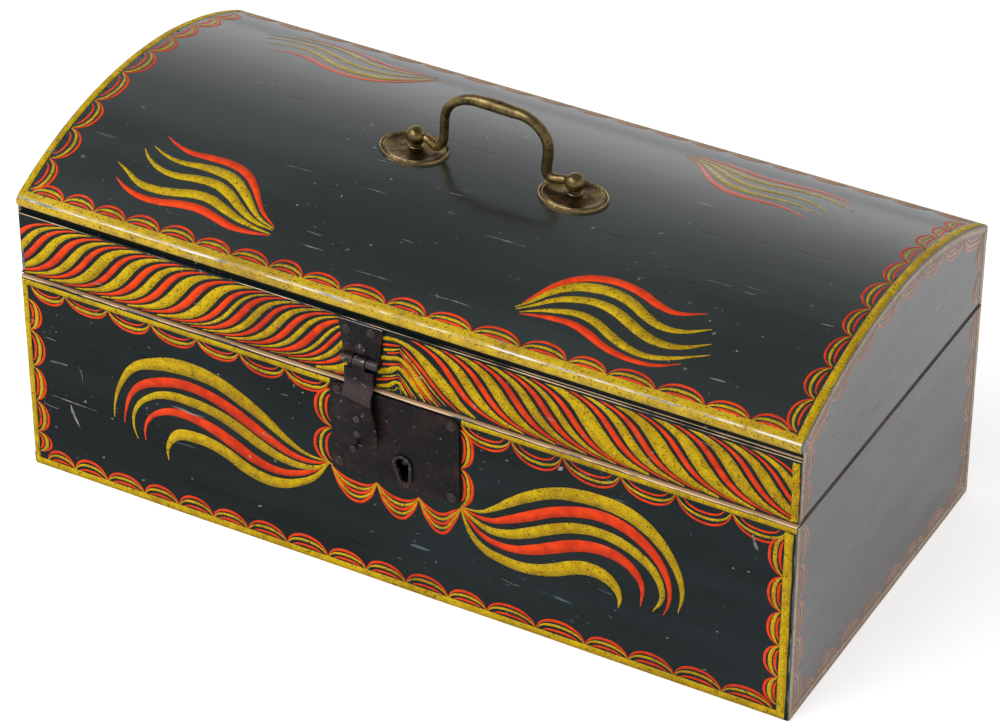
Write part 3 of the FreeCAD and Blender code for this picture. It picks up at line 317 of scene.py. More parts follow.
def board(replaced, body, paint, bare_ways, arrises, radius, outline=None, hollow=None, least=0.6):
    """A board with the same section all along, and some of its arrises rubbed round. Each arris is named
    by the ways that its two faces look, with how hard it is rubbed."""
    low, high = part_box(replaced)
    outline = outline or ((low.y, low.z), (high.y, low.z), (high.y, high.z), (low.y, high.z))
    shape = bmesh.new()
    section = shape.faces.new([shape.verts.new((low.x, y, z)) for y, z in outline])
    grown = bmesh.ops.extrude_face_region(shape, geom=[section], use_keep_orig=True)["geom"]
    bmesh.ops.translate(shape, vec=(high.x - low.x, 0, 0),
                        verts=[part for part in grown if isinstance(part, bmesh.types.BMVert)])
    for face in smoothed(shape).faces:
        if any(looks(face.normal, way, 0.85) for way in bare_ways):
            face.material_index = BARE
        # Faces that look left or right take the pale grey paint, which is painted sheen.
        elif abs(face.normal.x) > 0.7:
            face.material_index = SIDEWAYS_SHEEN

    def wear(edge):
        """How hard an edge is rubbed."""
        if not edge.is_convex:
            return 0.0
        first, second = (face.normal for face in edge.link_faces)
        return max([hard for one, other, hard in arrises
                    if (looks(first, one, least) and looks(second, other, least))
                    or (looks(first, other, least) and looks(second, one, least))],
                   default=0.0)

    edges = [edge for edge in shape.edges if wear(edge)]
    lines = [(wear(edge), [vertex.co.copy() for vertex in edge.verts]) for edge in edges]
    bmesh.ops.bevel(shape, geom=edges, offset=radius, segments=4, profile=0.5, affect="EDGES", material=-1)
    if hollow:
        shape = less_block(shape, *hollow)
    made = finished(f"shaped_{replaced}", body, shape, (paint, end_paint, bare_pine),
                    (replaced,), 9.0)

    def worth(point):
        """How hard a point is rubbed: all of its arris's own at the middle of the round, less beside it."""
        marks = [hard*(1 - (point - intersect_point_line(point, *line)[0]).length/radius)/(2 - math.sqrt(2))
                 for hard, line in lines]
        return min(max(marks + [0.0]), 1.2)

    worn = made.data.attributes.new("worn", "FLOAT", "POINT")
    worn.data.foreach_set("value", [worth(vertex.co) for vertex in made.data.vertices])
    return made


lock_low, lock_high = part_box("lock_case")
mortise = (lock_low - Vector((MORTISE_CLEARANCE, MORTISE_OPEN, MORTISE_CLEARANCE)),
           lock_high + Vector((MORTISE_CLEARANCE, 0, MORTISE_CLEARANCE)))
for replaced, outer, inner, hollow in (("front_board", "front", "back", mortise),
                                       ("back_board", "back", "front", None)):
    board(replaced, "case", front_paint, (inner, "top"),
          ((outer, "top", 0.98), (outer, "left", 0.9), (outer, "right", 0.9)), ARRIS, hollow=hollow)
for outer, inner in (("left", "right"), ("right", "left")):
    board(f"{outer}_end_board", "case", front_paint, (inner, "top"), ((outer, "top", 0.25),), SHARP_ARRIS)
board("bottom_board", "case", front_paint, ("top", "bottom"),
      tuple((side, "bottom", 0.9) for side in ("front", "back", "left", "right")), ARRIS)

# Brushwork of the case, laid on the dry ground with a round brush in two oil colours, mustard yellow and
# vermilion. Each stroke is a thin ridge of paint: mm across, mm up and mm wide at each knot. Chips are
# strokes without colour, and a near-black band along the seam under the lid is painted shade, standing
# in for the shade in the gap between lid and case.
STROKE_THICKNESS_SHARE, WAVER, GARLAND_PLAY, BORDER_PLAY = 0.03, 0.07, 0.08, 0.07
SEAM_OFFSET, SEAM_WIDTH = 0.55, 0.9
LIFTS = {"yellow": 0.07*MM, "red": 0.05*MM, "chip": 0.10*MM, "dirt": 0.10*MM}
MUSTARD, MUSTARD_DEEP, SPOT = (0.66, 0.44, 0.006, 1), (0.43, 0.26, 0.006, 1), (0.060, 0.042, 0.006, 1)
VERMILION, VERMILION_DEEP = (0.93, 0.066, 0.008, 1), (0.62, 0.036, 0.008, 1)
KNOCKED, PALE_RUB_AND_HIGHLIGHT, RUBBED_BLUE = (0.35, 0.30, 0.22, 1), (0.84, 0.77, 0.68, 1), (0.12, 0.19, 0.21, 1)
CHIP_PALE, CHIP_BLUE = (0.32, 0.29, 0.25, 1), (0.07, 0.10, 0.115, 1)


def brush_paint(name, bright, deep, spots, coat=0.0, rub=(0.75, 0.95, 120)):
    """Oil colour with uneven body, small dark spots where the varnish has gathered, and knocks."""
    paint = Material(name, Roughness=0.40, Specular_IOR_Level=0.08, Coat_Weight=coat, Coat_Roughness=0.14)
    body = paint.ramp(paint.plus(paint.noise(160), paint.noise(18)), 0.85, 1.2)
    fine = paint.ramp(paint.noise(1050, detail=2.0), spots, spots + 0.05)
    coarse = paint.ramp(paint.noise(480, detail=2.0), spots + 0.06, spots + 0.11)
    spotted = paint.times(paint.larger(fine, coarse), 0.75)
    colour = paint.blend(spotted, paint.blend(body, bright, deep), SPOT)
    colour = paint.blend(paint.times(knocks(paint, ALONG_X), 0.8), colour, KNOCKED)
    # Rubbed places show a pale or blue under-layer. Only the nose band carries a rub mark, and there the
    # pale is partly painted highlight.
    under = paint.blend(paint.ramp(paint.noise(75, (0.4, 1, 1)), 0.50, 0.62), PALE_RUB_AND_HIGHLIGHT, RUBBED_BLUE)
    colour = paint.blend(rubbed(paint, *rub), colour, under)
    return paint.shade(Base_Color=colour, Normal=paint.bump(paint.noise(500), 0.12, 0.15*MM))


mustard = brush_paint("mustard_paint", MUSTARD, MUSTARD_DEEP, 0.585)
# The nose's copy rubs to a wider pale stripe: partly wear, partly painted highlight.
nose_mustard_and_highlight = brush_paint("nose_mustard_paint", MUSTARD, MUSTARD_DEEP, 0.59, 0.7, (0.86, 0.98, 230))
vermilion = brush_paint("vermilion_paint", VERMILION, VERMILION_DEEP, 0.66)
# Greyer copies of the two colours for the back slope of the dome: painted sheen, on top of their real coat.
sheened_glazed_mustard = brush_paint("glazed_mustard_paint", (0.50, 0.36, 0.08, 1), (0.36, 0.25, 0.06, 1), 0.60,
                             0.95)
sheened_glazed_vermilion = brush_paint("glazed_vermilion_paint", (0.66, 0.14, 0.08, 1), (0.48, 0.10, 0.06, 1), 0.66,
                               0.95)
# Paler, greyer copies of the two colours for the ends: painted sheen over their brushwork.
sheened_end_mustard = brush_paint("end_mustard_paint", (0.64, 0.46, 0.29, 1), (0.46, 0.33, 0.20, 1), 0.60, 0.9)
sheened_end_vermilion = brush_paint("end_vermilion_paint", (0.72, 0.33, 0.26, 1), (0.54, 0.25, 0.20, 1), 0.62, 0.9)
chipped = Material("chipped_paint", Roughness=0.65)
chip = chipped.shade(Base_Color=chipped.blend(chipped.ramp(chipped.noise(260), 0.42, 0.6), CHIP_PALE,
                                              CHIP_BLUE))
# Painted shade: a near-black matte colour for the band that stands in for the shade in the seam.
dirt = Material("seam_dirt", Roughness=0.9, Base_Color=(0.016, 0.010, 0.008, 1)).material
PAINTS = {"yellow": mustard, "red": vermilion, "chip": chip, "dirt": dirt}
END_SHEEN_PAINTS = {"yellow": sheened_end_mustard, "red": sheened_end_vermilion, "dirt": dirt}
GLAZED_SHEEN_PAINTS = {"yellow": sheened_glazed_mustard, "red": sheened_glazed_vermilion}


def new_group(name, sockets):
    """The tree of a new group of geometry nodes, and what the group is given."""
    group = bpy.data.node_groups.new(name, "GeometryNodeTree")
    for socket, kind in {"Geometry": "Geometry", **sockets}.items():
        group.interface.new_socket(name=socket, in_out="INPUT", socket_type=f"NodeSocket{kind}")
    group.interface.new_socket(name="Geometry", in_out="OUTPUT", socket_type="NodeSocketGeometry")
    tree = Tree(group)
    return tree, tree.node("NodeGroupInput")


def brush_group():
    """Repeats strokes in a row, gives them body, turns them to face as the board does and bends them."""
    tree, given = new_group("brushwork", {
        "Count": "Int", "Start": "Vector", "Step": "Vector", "Turn": "Vector", "Unevenness": "Float",
        "Seed": "Int", "Lift": "Float", "Facing": "Vector", "Bend radius": "Float", "Place": "Vector"})
    row = tree.node("GeometryNodeMeshLine", {"Count": given["Count"], "Start Location": given["Start"],
                                             "Offset": given["Step"]})
    least, most = (tree.vector(1.0, tree.calc(sign, 1.0, given["Unevenness"]), 1.0)
                   for sign in ("SUBTRACT", "ADD"))
    size = tree.node("FunctionNodeRandomValue", {0: least, 1: most, "Seed": given["Seed"]},
                     data_type="FLOAT_VECTOR")
    turn = tree.node("FunctionNodeEulerToRotation", {0: given["Turn"]})
    placed = tree.node("GeometryNodeInstanceOnPoints", {
        "Points": row[0], "Instance": given["Geometry"], "Rotation": turn[0], "Scale": size[0]})
    real = tree.node("GeometryNodeRealizeInstances", {0: placed[0]})
    bristles = tree.node("GeometryNodeCurvePrimitiveQuadrilateral",
                         {"Width": 2.0, "Height": 2*STROKE_THICKNESS_SHARE})
    body = tree.node("GeometryNodeCurveToMesh", {
        "Curve": real[0], "Profile Curve": bristles[0], "Scale": tree.node("GeometryNodeInputRadius")[0],
        "Fill Caps": True})
    raised = tree.node("GeometryNodeTransform",
                       {"Geometry": body[0], "Translation": tree.vector(z=given["Lift"])})
    facing = tree.node("FunctionNodeEulerToRotation", {0: given["Facing"]})
    faced = tree.node("GeometryNodeTransform", {"Geometry": raised[0], "Rotation": facing[0]})
    at = tree.split(tree.node("GeometryNodeInputPosition")[0])
    angle = tree.calc("DIVIDE", at["Y"], given["Bend radius"])
    reach = tree.plus(at["Z"], given["Bend radius"])
    bent = tree.node("GeometryNodeSetPosition", {
        "Geometry": faced[0], "Selection": tree.calc("GREATER_THAN", given["Bend radius"], 0.0),
        "Position": tree.vector(at["X"], tree.times(reach, tree.calc("SINE", angle)),
                                tree.times(reach, tree.calc("COSINE", angle)))})
    settled = tree.node("GeometryNodeTransform", {"Geometry": bent[0], "Translation": given["Place"]})
    tree.node("NodeGroupOutput", {0: settled[0]})
    return tree.tree


brushwork = brush_group()


def solid_copy(source):
    """The plain mesh that an object's curve or modifiers make. The object itself is removed."""
    bpy.context.view_layer.update()
    mesh = bpy.data.meshes.new_from_object(source.evaluated_get(bpy.context.evaluated_depsgraph_get()))
    bpy.data.objects.remove(source)
    return mesh


def worked(host, group, values):
    """The mesh that a group of nodes makes of an object, with its inputs set to some values."""
    modifier = host.modifiers.new(group.name, "NODES")
    modifier.node_group = group
    for socket in group.interface.items_tree:
        if socket.in_out == "INPUT" and socket.name in values:
            modifier[socket.identifier] = values[socket.name]
    return solid_copy(host)


def bezier(paths, resolution):
    """A smooth curve along knots of x, y, z and radius, in m."""
    curve = bpy.data.curves.new("path", "CURVE")
    curve.dimensions = "3D"
    for knots in paths:
        spline = curve.splines.new("BEZIER")
        spline.resolution_u = resolution
        spline.bezier_points.add(len(knots) - 1)
        for knot, (x, y, z, radius) in zip(spline.bezier_points, knots):
            knot.co, knot.radius = (x, y, z), radius
            knot.handle_left_type = knot.handle_right_type = "AUTO"
    return curve


def even(start, end, steps):
    """Evenly spaced numbers with both ends."""
    return [start + (end - start)*step/steps for step in range(steps + 1)]


case_low, case_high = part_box("bottom_board")
case_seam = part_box("right_end_board")[1].z/MM - SEAM_OFFSET
UPRIGHT = math.pi/2
FACES = {
    "front": ((UPRIGHT, 0, 0), (0, case_low.y, 0), 0.0),
    "back": ((UPRIGHT, 0, math.pi), (0, case_high.y, 0), 0.0),
    "right": ((UPRIGHT, 0, UPRIGHT), (case_high.x, 0, 0), 0.0),
    "left": ((UPRIGHT, 0, -UPRIGHT), (case_low.x, 0, 0), 0.0),
}


def lay(face, strokes, count=1, start=(0, 0), step=(0, 0), turn=0.0, uneven=0.0, seed=0):
    """Meshes by colour of strokes by colour, laid on a face: single, or repeated along a row."""
    facing, place, bend = FACES[face]
    laid = {}
    for colour, paths in strokes.items():
        curve = bezier([[(across*MM, up*MM, 0, width/2*MM) for across, up, width in knots]
                        for knots in paths], 7)
        curve.twist_mode = "Z_UP"
        laid[colour] = worked(new_object("strokes", curve), brushwork, {
            "Count": count, "Start": (start[0]*MM, start[1]*MM, 0), "Step": (step[0]*MM, step[1]*MM, 0),
            "Turn": (0, 0, turn), "Unevenness": uneven, "Seed": seed, "Lift": LIFTS[colour],
            "Facing": facing, "Bend radius": bend, "Place": place})
    return laid


def bands(face, edges, colour="yellow"):
    """Broad strokes along edges, each with its ends, its width and a number for how the width wavers."""
    return lay(face, {colour: [
        [(start[0] + share*(end[0] - start[0]), start[1] + share*(end[1] - start[1]),
          (1 + WAVER*math.sin(2.3*knot + wave))*width) for knot, share in enumerate(even(0, 1, 9))]
        for start, end, width, wave in edges]})


SCALLOP_KNOTS = ((0, 0.02, 0.22), (0.1, 0.56, 0.62), (0.27, 0.9, 0.92), (0.5, 1, 1), (0.74, 0.84, 0.95),
                 (0.91, 0.46, 0.62), (1, 0.02, 0.2))


def scallop(pitch, heights, widths):
    """One scallop of a border along the board's edge, as three nested strokes from cusp to cusp."""
    strokes = {"red": [], "yellow": []}
    for colour, height, width, inset in zip(("red", "yellow", "red"), heights, widths, (0.0, 0.02, 0.14)):
        near, span = inset*pitch, (1 - 2*inset)*pitch
        strokes[colour].append([(near + along*span, up*height, swell*width)
                                for along, up, swell in SCALLOP_KNOTS])
    return strokes


def border(face, start, end, count, heights, widths, seed):
    """Even scallops from one place of a face to another, on the left of that way."""
    run = Vector((end[0] - start[0], end[1] - start[1]))
    return lay(face, scallop(run.length/count, heights, widths), count=count, start=start, step=run/count,
               turn=math.atan2(run.y, run.x), uneven=BORDER_PLAY, seed=seed)


def garland(face, start, end, cusps, heights, widths):
    """Uneven scallops, whose cusps are given by how far along the way they stand."""
    run = Vector((end[0] - start[0], end[1] - start[1]))
    way, level = run.normalized(), run.length/cusps[-1]
    strokes = {"red": [], "yellow": []}
    for index, (near, far) in enumerate(zip(cusps, cusps[1:])):
        play = 1 + GARLAND_PLAY*math.sin(2.1*index)
        flat = scallop((far - near)*level, [play*height for height in heights], widths)
        for colour, paths in flat.items():
            strokes[colour] += [[(start[0] + (along + near*level)*way.x - up*way.y,
                                  start[1] + (along + near*level)*way.y + up*way.x, width)
                                 for along, up, width in knots] for knots in paths]
    return lay(face, strokes)


def ornament(name, body, parts, paints=PAINTS, limits=()):
    """A piece for each colour of some parts, cut off where it would pass a limit."""
    for colour in dict.fromkeys(colour for part in parts for colour in part):
        shape = bmesh_of(part[colour] for part in parts if colour in part)
        for point, outward in limits:
            bmesh.ops.bisect_plane(shape, geom=shape.verts[:] + shape.edges[:] + shape.faces[:], dist=1e-7,
                                   plane_co=point, plane_no=outward, clear_outer=True)
        bmesh.ops.recalc_face_normals(shape, faces=shape.faces)
        finished(f"{name}_{colour}", body, shape, (paints[colour],), sharp=None)


FRONT_LEFT_PLUME = {
    "yellow": (
        ((-164.2, 47, 0.4), (-163.4, 56, 1.2), (-158.6, 70.5, 2.9), (-150, 82.6, 4.7), (-138, 88.4, 7),
         (-126, 91.4, 8.8), (-113, 91.8, 8.8), (-100.5, 89.8, 7.9), (-88, 84.6, 7.8), (-74.2, 77.4, 6.2),
         (-61.8, 69.3, 3.9), (-50.5, 64.3, 1.9), (-36.8, 63.8, 0.5)),
        ((-150.6, 38, 0.4), (-152.7, 46, 1.2), (-150.6, 57, 2.2), (-143, 66, 3.2), (-132, 71.4, 4.7),
         (-118, 72.4, 5.5), (-104, 70.9, 5.9), (-91, 66.8, 6.4), (-78, 60.8, 6.3), (-64.2, 56.4, 4.8),
         (-53, 55.8, 3.6), (-44.2, 58.1, 2.2), (-36.8, 63.8, 0.5)),
        ((-132.5, 31, 0.4), (-132.7, 37.5, 1.8), (-130.6, 43.5, 3.6), (-125.5, 49.1, 6), (-115.5, 51, 7),
         (-105.5, 50.4, 6.6), (-95.5, 47.2, 6.8), (-85.5, 42.6, 7), (-75.5, 40.2, 6.7), (-65.5, 40.8, 5.8),
         (-55.5, 44.8, 4.2), (-46, 51.4, 3), (-36.8, 63.8, 0.5))),
    "red": (
        ((-158.3, 45.4, 0.4), (-156.9, 54, 1.3), (-153.4, 64.5, 2.6), (-146.5, 72.6, 4.2), (-136, 77.9, 5.6),
         (-122, 81.4, 5.7), (-108, 80.5, 5.7), (-94, 76.3, 6.4), (-81, 70.3, 6.3), (-68, 64.2, 5),
         (-56, 60.5, 3.4), (-45, 60.9, 1.8), (-36.8, 63.8, 0.5)),
        ((-145.8, 38.6, 0.4), (-145.9, 45.5, 1.2), (-142.6, 53.6, 2.2), (-135, 59.9, 3.6),
         (-125.5, 62.8, 4.9), (-114.2, 62.3, 5.4), (-103, 59.6, 6.5), (-91.8, 55, 7), (-80.5, 50, 6),
         (-68, 47.8, 4.4), (-56.8, 50, 3.3), (-46.8, 55.2, 2.3), (-36.8, 63.8, 0.5)))}
FRONT_RIGHT_PLUME = {
    "yellow": (
        ((37.3, 63.6, 0.5), (47.5, 64.3, 1.6), (55, 68.6, 2.8), (64, 75.6, 4.7), (75, 83.3, 6),
         (87.5, 89.9, 6.4), (100, 93.3, 7.6), (112.5, 94.4, 7.9), (125, 93.4, 8.2), (135.5, 89.4, 7.8),
         (144.4, 82.8, 6.5), (151.6, 74, 4.8), (156.5, 63.6, 3.5), (157.9, 54, 2.2), (156, 43.6, 0.4)),
        ((37.3, 63.6, 0.5), (43.8, 58.8, 2.2), (52.5, 55.4, 4), (63, 56.4, 5.1), (75, 61.6, 6),
         (87.5, 68.4, 6), (100, 73.6, 6), (112.5, 75.6, 5.5), (124, 74.2, 5.9), (134.5, 69.8, 5.5),
         (141.9, 64, 4.9), (146.5, 56, 3.7), (147.2, 48.5, 2.6), (142.5, 39.2, 0.4)),
        ((37.3, 63.6, 0.5), (39.9, 55.2, 1.8), (44.4, 47.4, 3.4), (51.5, 41.9, 4.8), (60, 39.9, 5.5),
         (70, 39.2, 6), (80, 40.9, 6.6), (90, 44.8, 7.4), (100, 49.8, 7.8), (109, 51.9, 7.9),
         (116.5, 50.6, 7.2), (121.6, 46.8, 5.4), (124.5, 41, 2.8), (124.1, 34.2, 0.4))),
    "red": (
        ((37.3, 63.6, 0.5), (45, 61.2, 1.7), (54, 61.3, 2.8), (64, 65.6, 4.6), (75, 71.6, 5.7),
         (87.5, 78.6, 5.7), (100, 83.3, 6.1), (112.5, 85.7, 6.5), (125, 84.3, 6.5), (135, 79.5, 6),
         (142.8, 73, 5), (148.4, 64.6, 3.8), (151.1, 55.5, 2.5), (150.7, 46, 1.4), (148.2, 39.2, 0.4)),
        ((37.3, 63.6, 0.5), (43.2, 55.4, 1.8), (50, 50.2, 2.8), (58, 48.2, 3.7), (67.5, 48.8, 4.4),
         (77.5, 52.2, 5.8), (87.5, 57, 6.5), (97.5, 62, 6.7), (107.5, 65.2, 6.5), (117.5, 65.9, 6.5),
         (126, 63.8, 5.8), (132.5, 59, 4.6), (136.4, 52, 2.7), (136, 39.8, 0.4)))}
LOCK_SWAGS = (((-35.6, 63.4), (-9.9, 62)), ((-9.9, 62), (13.8, 61.4)), ((13.8, 61.4), (37.2, 63.4)))
SWAG_DEPTHS = (("red", 6.6, 1.8), ("yellow", 9.5, 1.7), ("red", 12.3, 1.8), ("yellow", 15, 1.5),
               ("red", 18, 1.7))
FRONT_CHIPS = (
    ((-202, 47.4, 0.2), (-190, 46.9, 0.7), (-175, 46.6, 0.2)), ((-183, 49.6, 0.4), (-181.2, 50.4, 1.6)),
    ((-191, 45, 0.5), (-190, 41, 2), (-188, 36, 1.3), (-186, 32, 0.3)),
    ((-208, 40.6, 0.2), (-204, 40, 1), (-199, 39.8, 0.3)), ((-173.6, 18, 0.3), (-172, 18.4, 1.6)),
    ((-119.6, 24, 0.4), (-118.4, 24.2, 1.5)), ((-80, 21.2, 0.3), (-77.8, 21.8, 1.3)),
    ((-101, 95, 0.3), (-99.6, 95.2, 1.1)), ((-71.8, 96.6, 0.4), (-70.4, 96.4, 1.2)),
    ((-166.6, 45, 0.3), (-165.2, 45.3, 1.3)), ((90.4, 104.8, 0.3), (92, 106.2, 2.4), (93.2, 107.4, 0.4)),
    ((88, 50, 0.1), (94, 47.6, 0.5), (100, 45, 0.1)),
    ((193.4, 104.4, 0.8), (195.4, 98, 1.9), (196.4, 96.4, 0.3)), ((183.2, 81, 0.3), (184.6, 81.3, 1.1)),
    ((191.4, 82, 0.3), (192.6, 82.2, 0.9)), ((-150, 12, 0.2), (-148.2, 12.6, 0.9)),
    ((12, 38, 0.2), (13.6, 38.2, 0.8)), ((22.4, 24.2, 0.2), (23.4, 25, 0.9)),
    ((-14, 30, 0.2), (-12.4, 29.6, 0.8)), ((60, 28, 0.1), (66, 27, 0.4), (71, 27.2, 0.1)),
    ((150, 26, 0.2), (151.4, 26.4, 1)), ((118, 28, 0.1), (121, 26.8, 0.6)),
    ((-52, 100.6, 0.2), (-50.6, 101.2, 0.9)), ((-197.6, 88, 0.2), (-196.4, 88.4, 1)),
    ((-184, 70, 0.1), (-182.6, 66, 0.5), (-182.8, 62, 0.1)), ((176.4, 40, 0.2), (177.4, 40.6, 1)),
    ((170, 14.6, 0.2), (172, 15, 0.8)), ((62, 100.4, 0.2), (63.4, 100.8, 0.9)))


def swags():
    """Five nested strokes that hang under the lock plate in each of three swags."""
    strokes = {"red": [], "yellow": []}
    for (left, left_up), (right, right_up) in LOCK_SWAGS:
        for colour, depth, width in SWAG_DEPTHS:
            span, drop = right - left, 0.12*depth
            strokes[colour].append((
                (left, left_up - drop, 0.4), (left + 0.20*span, left_up - 0.70*depth, 0.85*width),
                (left + 0.52*span, left_up - depth, width),
                (left + 0.82*span, right_up - 0.66*depth, 0.8*width), (right, right_up - drop, 0.4)))
    return strokes


ornament("front_ornament", "case", (
    garland("front", (-36.1, 111.9), (-210.5, 111.9), (0, 25, 51.3, 75.9, 102.9, 128.2, 153.8, 174.4),
            (7.8, 5.5, 3.2), (1.3, 1.8, 1.1)),
    garland("front", (211.3, 112.6), (37.8, 112.6), (0, 28.8, 58.2, 87.5, 118.5, 146.3, 173.5),
            (10.0, 7.0, 4.3), (1.35, 1.6, 1.25)),
    garland("front", (-208.0, 4.2), (207.5, 5.5), (
        0, 16.9, 36.9, 59.4, 80.2, 101, 121.6, 144.7, 168.7, 190.9, 213.6, 237.8, 259.5, 287, 314.5, 338,
        362.8, 388.4, 415.5), (7.3, 4.6, 1.7), (1.7, 1.6, 1.4)),
    garland("front", (-212.4, 103.5), (-212.4, 8.5), (0, 18.9, 41.4, 63, 82.6, 95), (6.8, 4.4, 2.0),
            (1.4, 2.0, 1.5)),
    garland("front", (209.4, 8.4), (209.4, 109.6), (0, 16.6, 36, 56.2, 77.1, 101.2), (6.7, 4.0, 1.6),
            (1.5, 2.2, 1.5)),
    border("front", (-34.9, 62.5), (-34.9, 109.0), 2, (9.6, 6.5, 3.3), (1.8, 1.8, 1.5), 8),
    border("front", (37.5, 109.8), (37.5, 63.6), 2, (6.6, 4.4, 2.2), (1.7, 1.7, 1.4), 9),
    lay("front", FRONT_LEFT_PLUME), lay("front", FRONT_RIGHT_PLUME), lay("front", swags()),
    bands("front", (((-215.4, 113.5), (-35.5, 113.5), 3.0, 1), ((38.0, 114.1), (215.4, 114.1), 2.8, 2),
                    ((-215.4, 2.3), (213.8, 3.1), 4.2, 3), ((-214.0, 4.0), (-214.0, 112.0), 2.9, 4),
                    ((211.8, 4.5), (211.8, 112.0), 4.4, 5))),
    lay("front", {"chip": FRONT_CHIPS})))
ornament("back_ornament", "case", (
    border("back", (212.0, 112.0), (-212.0, 112.0), 17, (8.2, 5.4, 2.7), (1.5, 2.0, 1.5), 13),
    border("back", (-212.0, 4.8), (212.0, 4.8), 17, (7.1, 4.5, 2.1), (1.7, 1.5, 1.6), 15),
    border("back", (-211.5, 106.0), (-211.5, 4.0), 5, (6.8, 4.4, 2.2), (1.4, 1.8, 1.4), 16),
    border("back", (211.5, 4.0), (211.5, 106.0), 5, (6.8, 4.4, 2.2), (1.4, 1.8, 1.4), 17),
    bands("back", (((-215.0, 113.6), (215.0, 113.6), 3.0, 1), ((-215.0, 2.6), (215.0, 2.6), 4.4, 3),
                   ((-213.6, 4.0), (-213.6, 112.0), 3.4, 4), ((213.6, 4.0), (213.6, 112.0), 3.4, 5)))))
# The ends' brushwork takes the copies with painted sheen.
for side in ("left", "right"):
    ornament(f"{side}_end_ornament", "case", (
        border(side, (-101.8, 4.8), (101.8, 4.8), 8, (7.0, 4.6, 2.3), (1.5, 1.5, 1.4), 21),
        border(side, (-101.5, 114.0), (-101.5, 4.0), 5, (8.6, 5.8, 3.0), (1.5, 1.8, 1.5), 22),
        border(side, (101.5, 4.0), (101.5, 114.0), 5, (8.6, 5.8, 3.0), (1.5, 1.8, 1.5), 23),
        bands(side, (((-104.6, 2.5), (104.6, 2.5), 4.4, 3), ((-103.2, 4.0), (-103.2, 115.6), 3.4, 4),
                     ((103.2, 4.0), (103.2, 115.6), 3.4, 5))),
        # A band of painted shade along the seam under the lid.
        bands(side, (((-104.8, case_seam), (104.8, case_seam), SEAM_WIDTH, 2),), "dirt")), END_SHEEN_PAINTS)

# Lid: two rails and two ends under a board that is bent to the arc of the dome. The board ends in a round
# nose in front, with a dark quirk between it and the arris of the front rail.
DOME_RISE, DOME_BOARD, RAIL_HEIGHT, QUIRK_DEPTH = 25.9*MM, 7.5*MM, 35.8*MM, 3.0*MM
ARC_STEPS, NOSE_STEPS = 72, 26
dome_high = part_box("dome_board")[1]
DOME_RADIUS = (dome_high.y**2 + DOME_RISE**2)/(2*DOME_RISE)
DOME_CENTRE = dome_high.z - DOME_RADIUS
UNDER_RADIUS, NOSE_RADIUS = DOME_RADIUS - DOME_BOARD, DOME_BOARD/2
NOSE_TILT = math.asin((dome_high.y - NOSE_RADIUS)/(DOME_RADIUS - NOSE_RADIUS))


def on_dome(y, radius):
    """The place in the section, y and z, of a point on an arc about the dome's centre."""
    return y, DOME_CENTRE + math.sqrt(radius**2 - y**2)


def around_nose(radius, end, steps):
    """Points around the nose, from its top at 0 degrees to its underside at 180."""
    reach = DOME_RADIUS - NOSE_RADIUS
    middle_y, middle_z = -reach*math.sin(NOSE_TILT), DOME_CENTRE + reach*math.cos(NOSE_TILT)
    turns = [math.radians(angle) + NOSE_TILT for angle in even(0, end, steps)]
    return [(middle_y - radius*math.sin(turn), middle_z + radius*math.cos(turn)) for turn in turns]


dome_paint = painted_ground("dome_paint", (0.009, 0.015, 0.0135, 1), (0.019, 0.029, 0.026, 1), ALONG_X,
                            0.24, 0.45, 0.7)
rail_low, rail_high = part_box("lid_front_rail")
back_low, back_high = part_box("lid_back_rail")
quirk_y, arris_z = rail_low.y + QUIRK_DEPTH, rail_low.z + RAIL_HEIGHT
board("lid_front_rail", "lid", front_paint, ("back", "bottom"),
      (("front", "top", 0.62), ("front", "left", 0.9), ("front", "right", 0.9)), SHARP_ARRIS,
      ((rail_low.y, rail_low.z), (rail_high.y, rail_low.z), on_dome(rail_high.y, UNDER_RADIUS),
       on_dome(quirk_y, UNDER_RADIUS), (quirk_y, arris_z), (rail_low.y, arris_z)), least=0.95)
board("lid_back_rail", "lid", front_paint, ("front", "bottom"),
      (("back", "left", 0.9), ("back", "right", 0.9)), SHARP_ARRIS,
      ((back_low.y, back_low.z), (back_high.y, back_low.z), on_dome(back_high.y, UNDER_RADIUS),
       on_dome(back_low.y, UNDER_RADIUS)))
# The lid's ends are given the pale grey paint, which is painted sheen.
for outer, inner in (("left", "right"), ("right", "left")):
    low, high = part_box(f"lid_{outer}_end")
    board(f"lid_{outer}_end", "lid", end_paint, (inner, "bottom"), ((outer, "bottom", 0.25),), SHARP_ARRIS,
          [(low.y, low.z), (high.y, low.z)] + [on_dome(y, UNDER_RADIUS)
                                               for y in even(high.y, low.y, ARC_STEPS//2)])
nose_top, nose_foot = -DOME_RADIUS*math.sin(NOSE_TILT), -UNDER_RADIUS*math.sin(NOSE_TILT)
dome_board = board(
    "dome_board", "lid", dome_paint, ("bottom",),
    [(end, way, 1.0) for end in ("left", "right") for way in ("top", "front")] + [("back", "top", 1.0)],
    ARRIS,
    [on_dome(y, DOME_RADIUS) for y in even(dome_high.y, nose_top, ARC_STEPS)]
    + around_nose(NOSE_RADIUS, 180, NOSE_STEPS)[1:]
    + [on_dome(y, UNDER_RADIUS) for y in even(nose_foot, dome_high.y, ARC_STEPS)][1:])
for polygon in dome_board.data.polygons:
    if polygon.center.y < quirk_y and polygon.material_index == BARE:
        polygon.material_index = 0

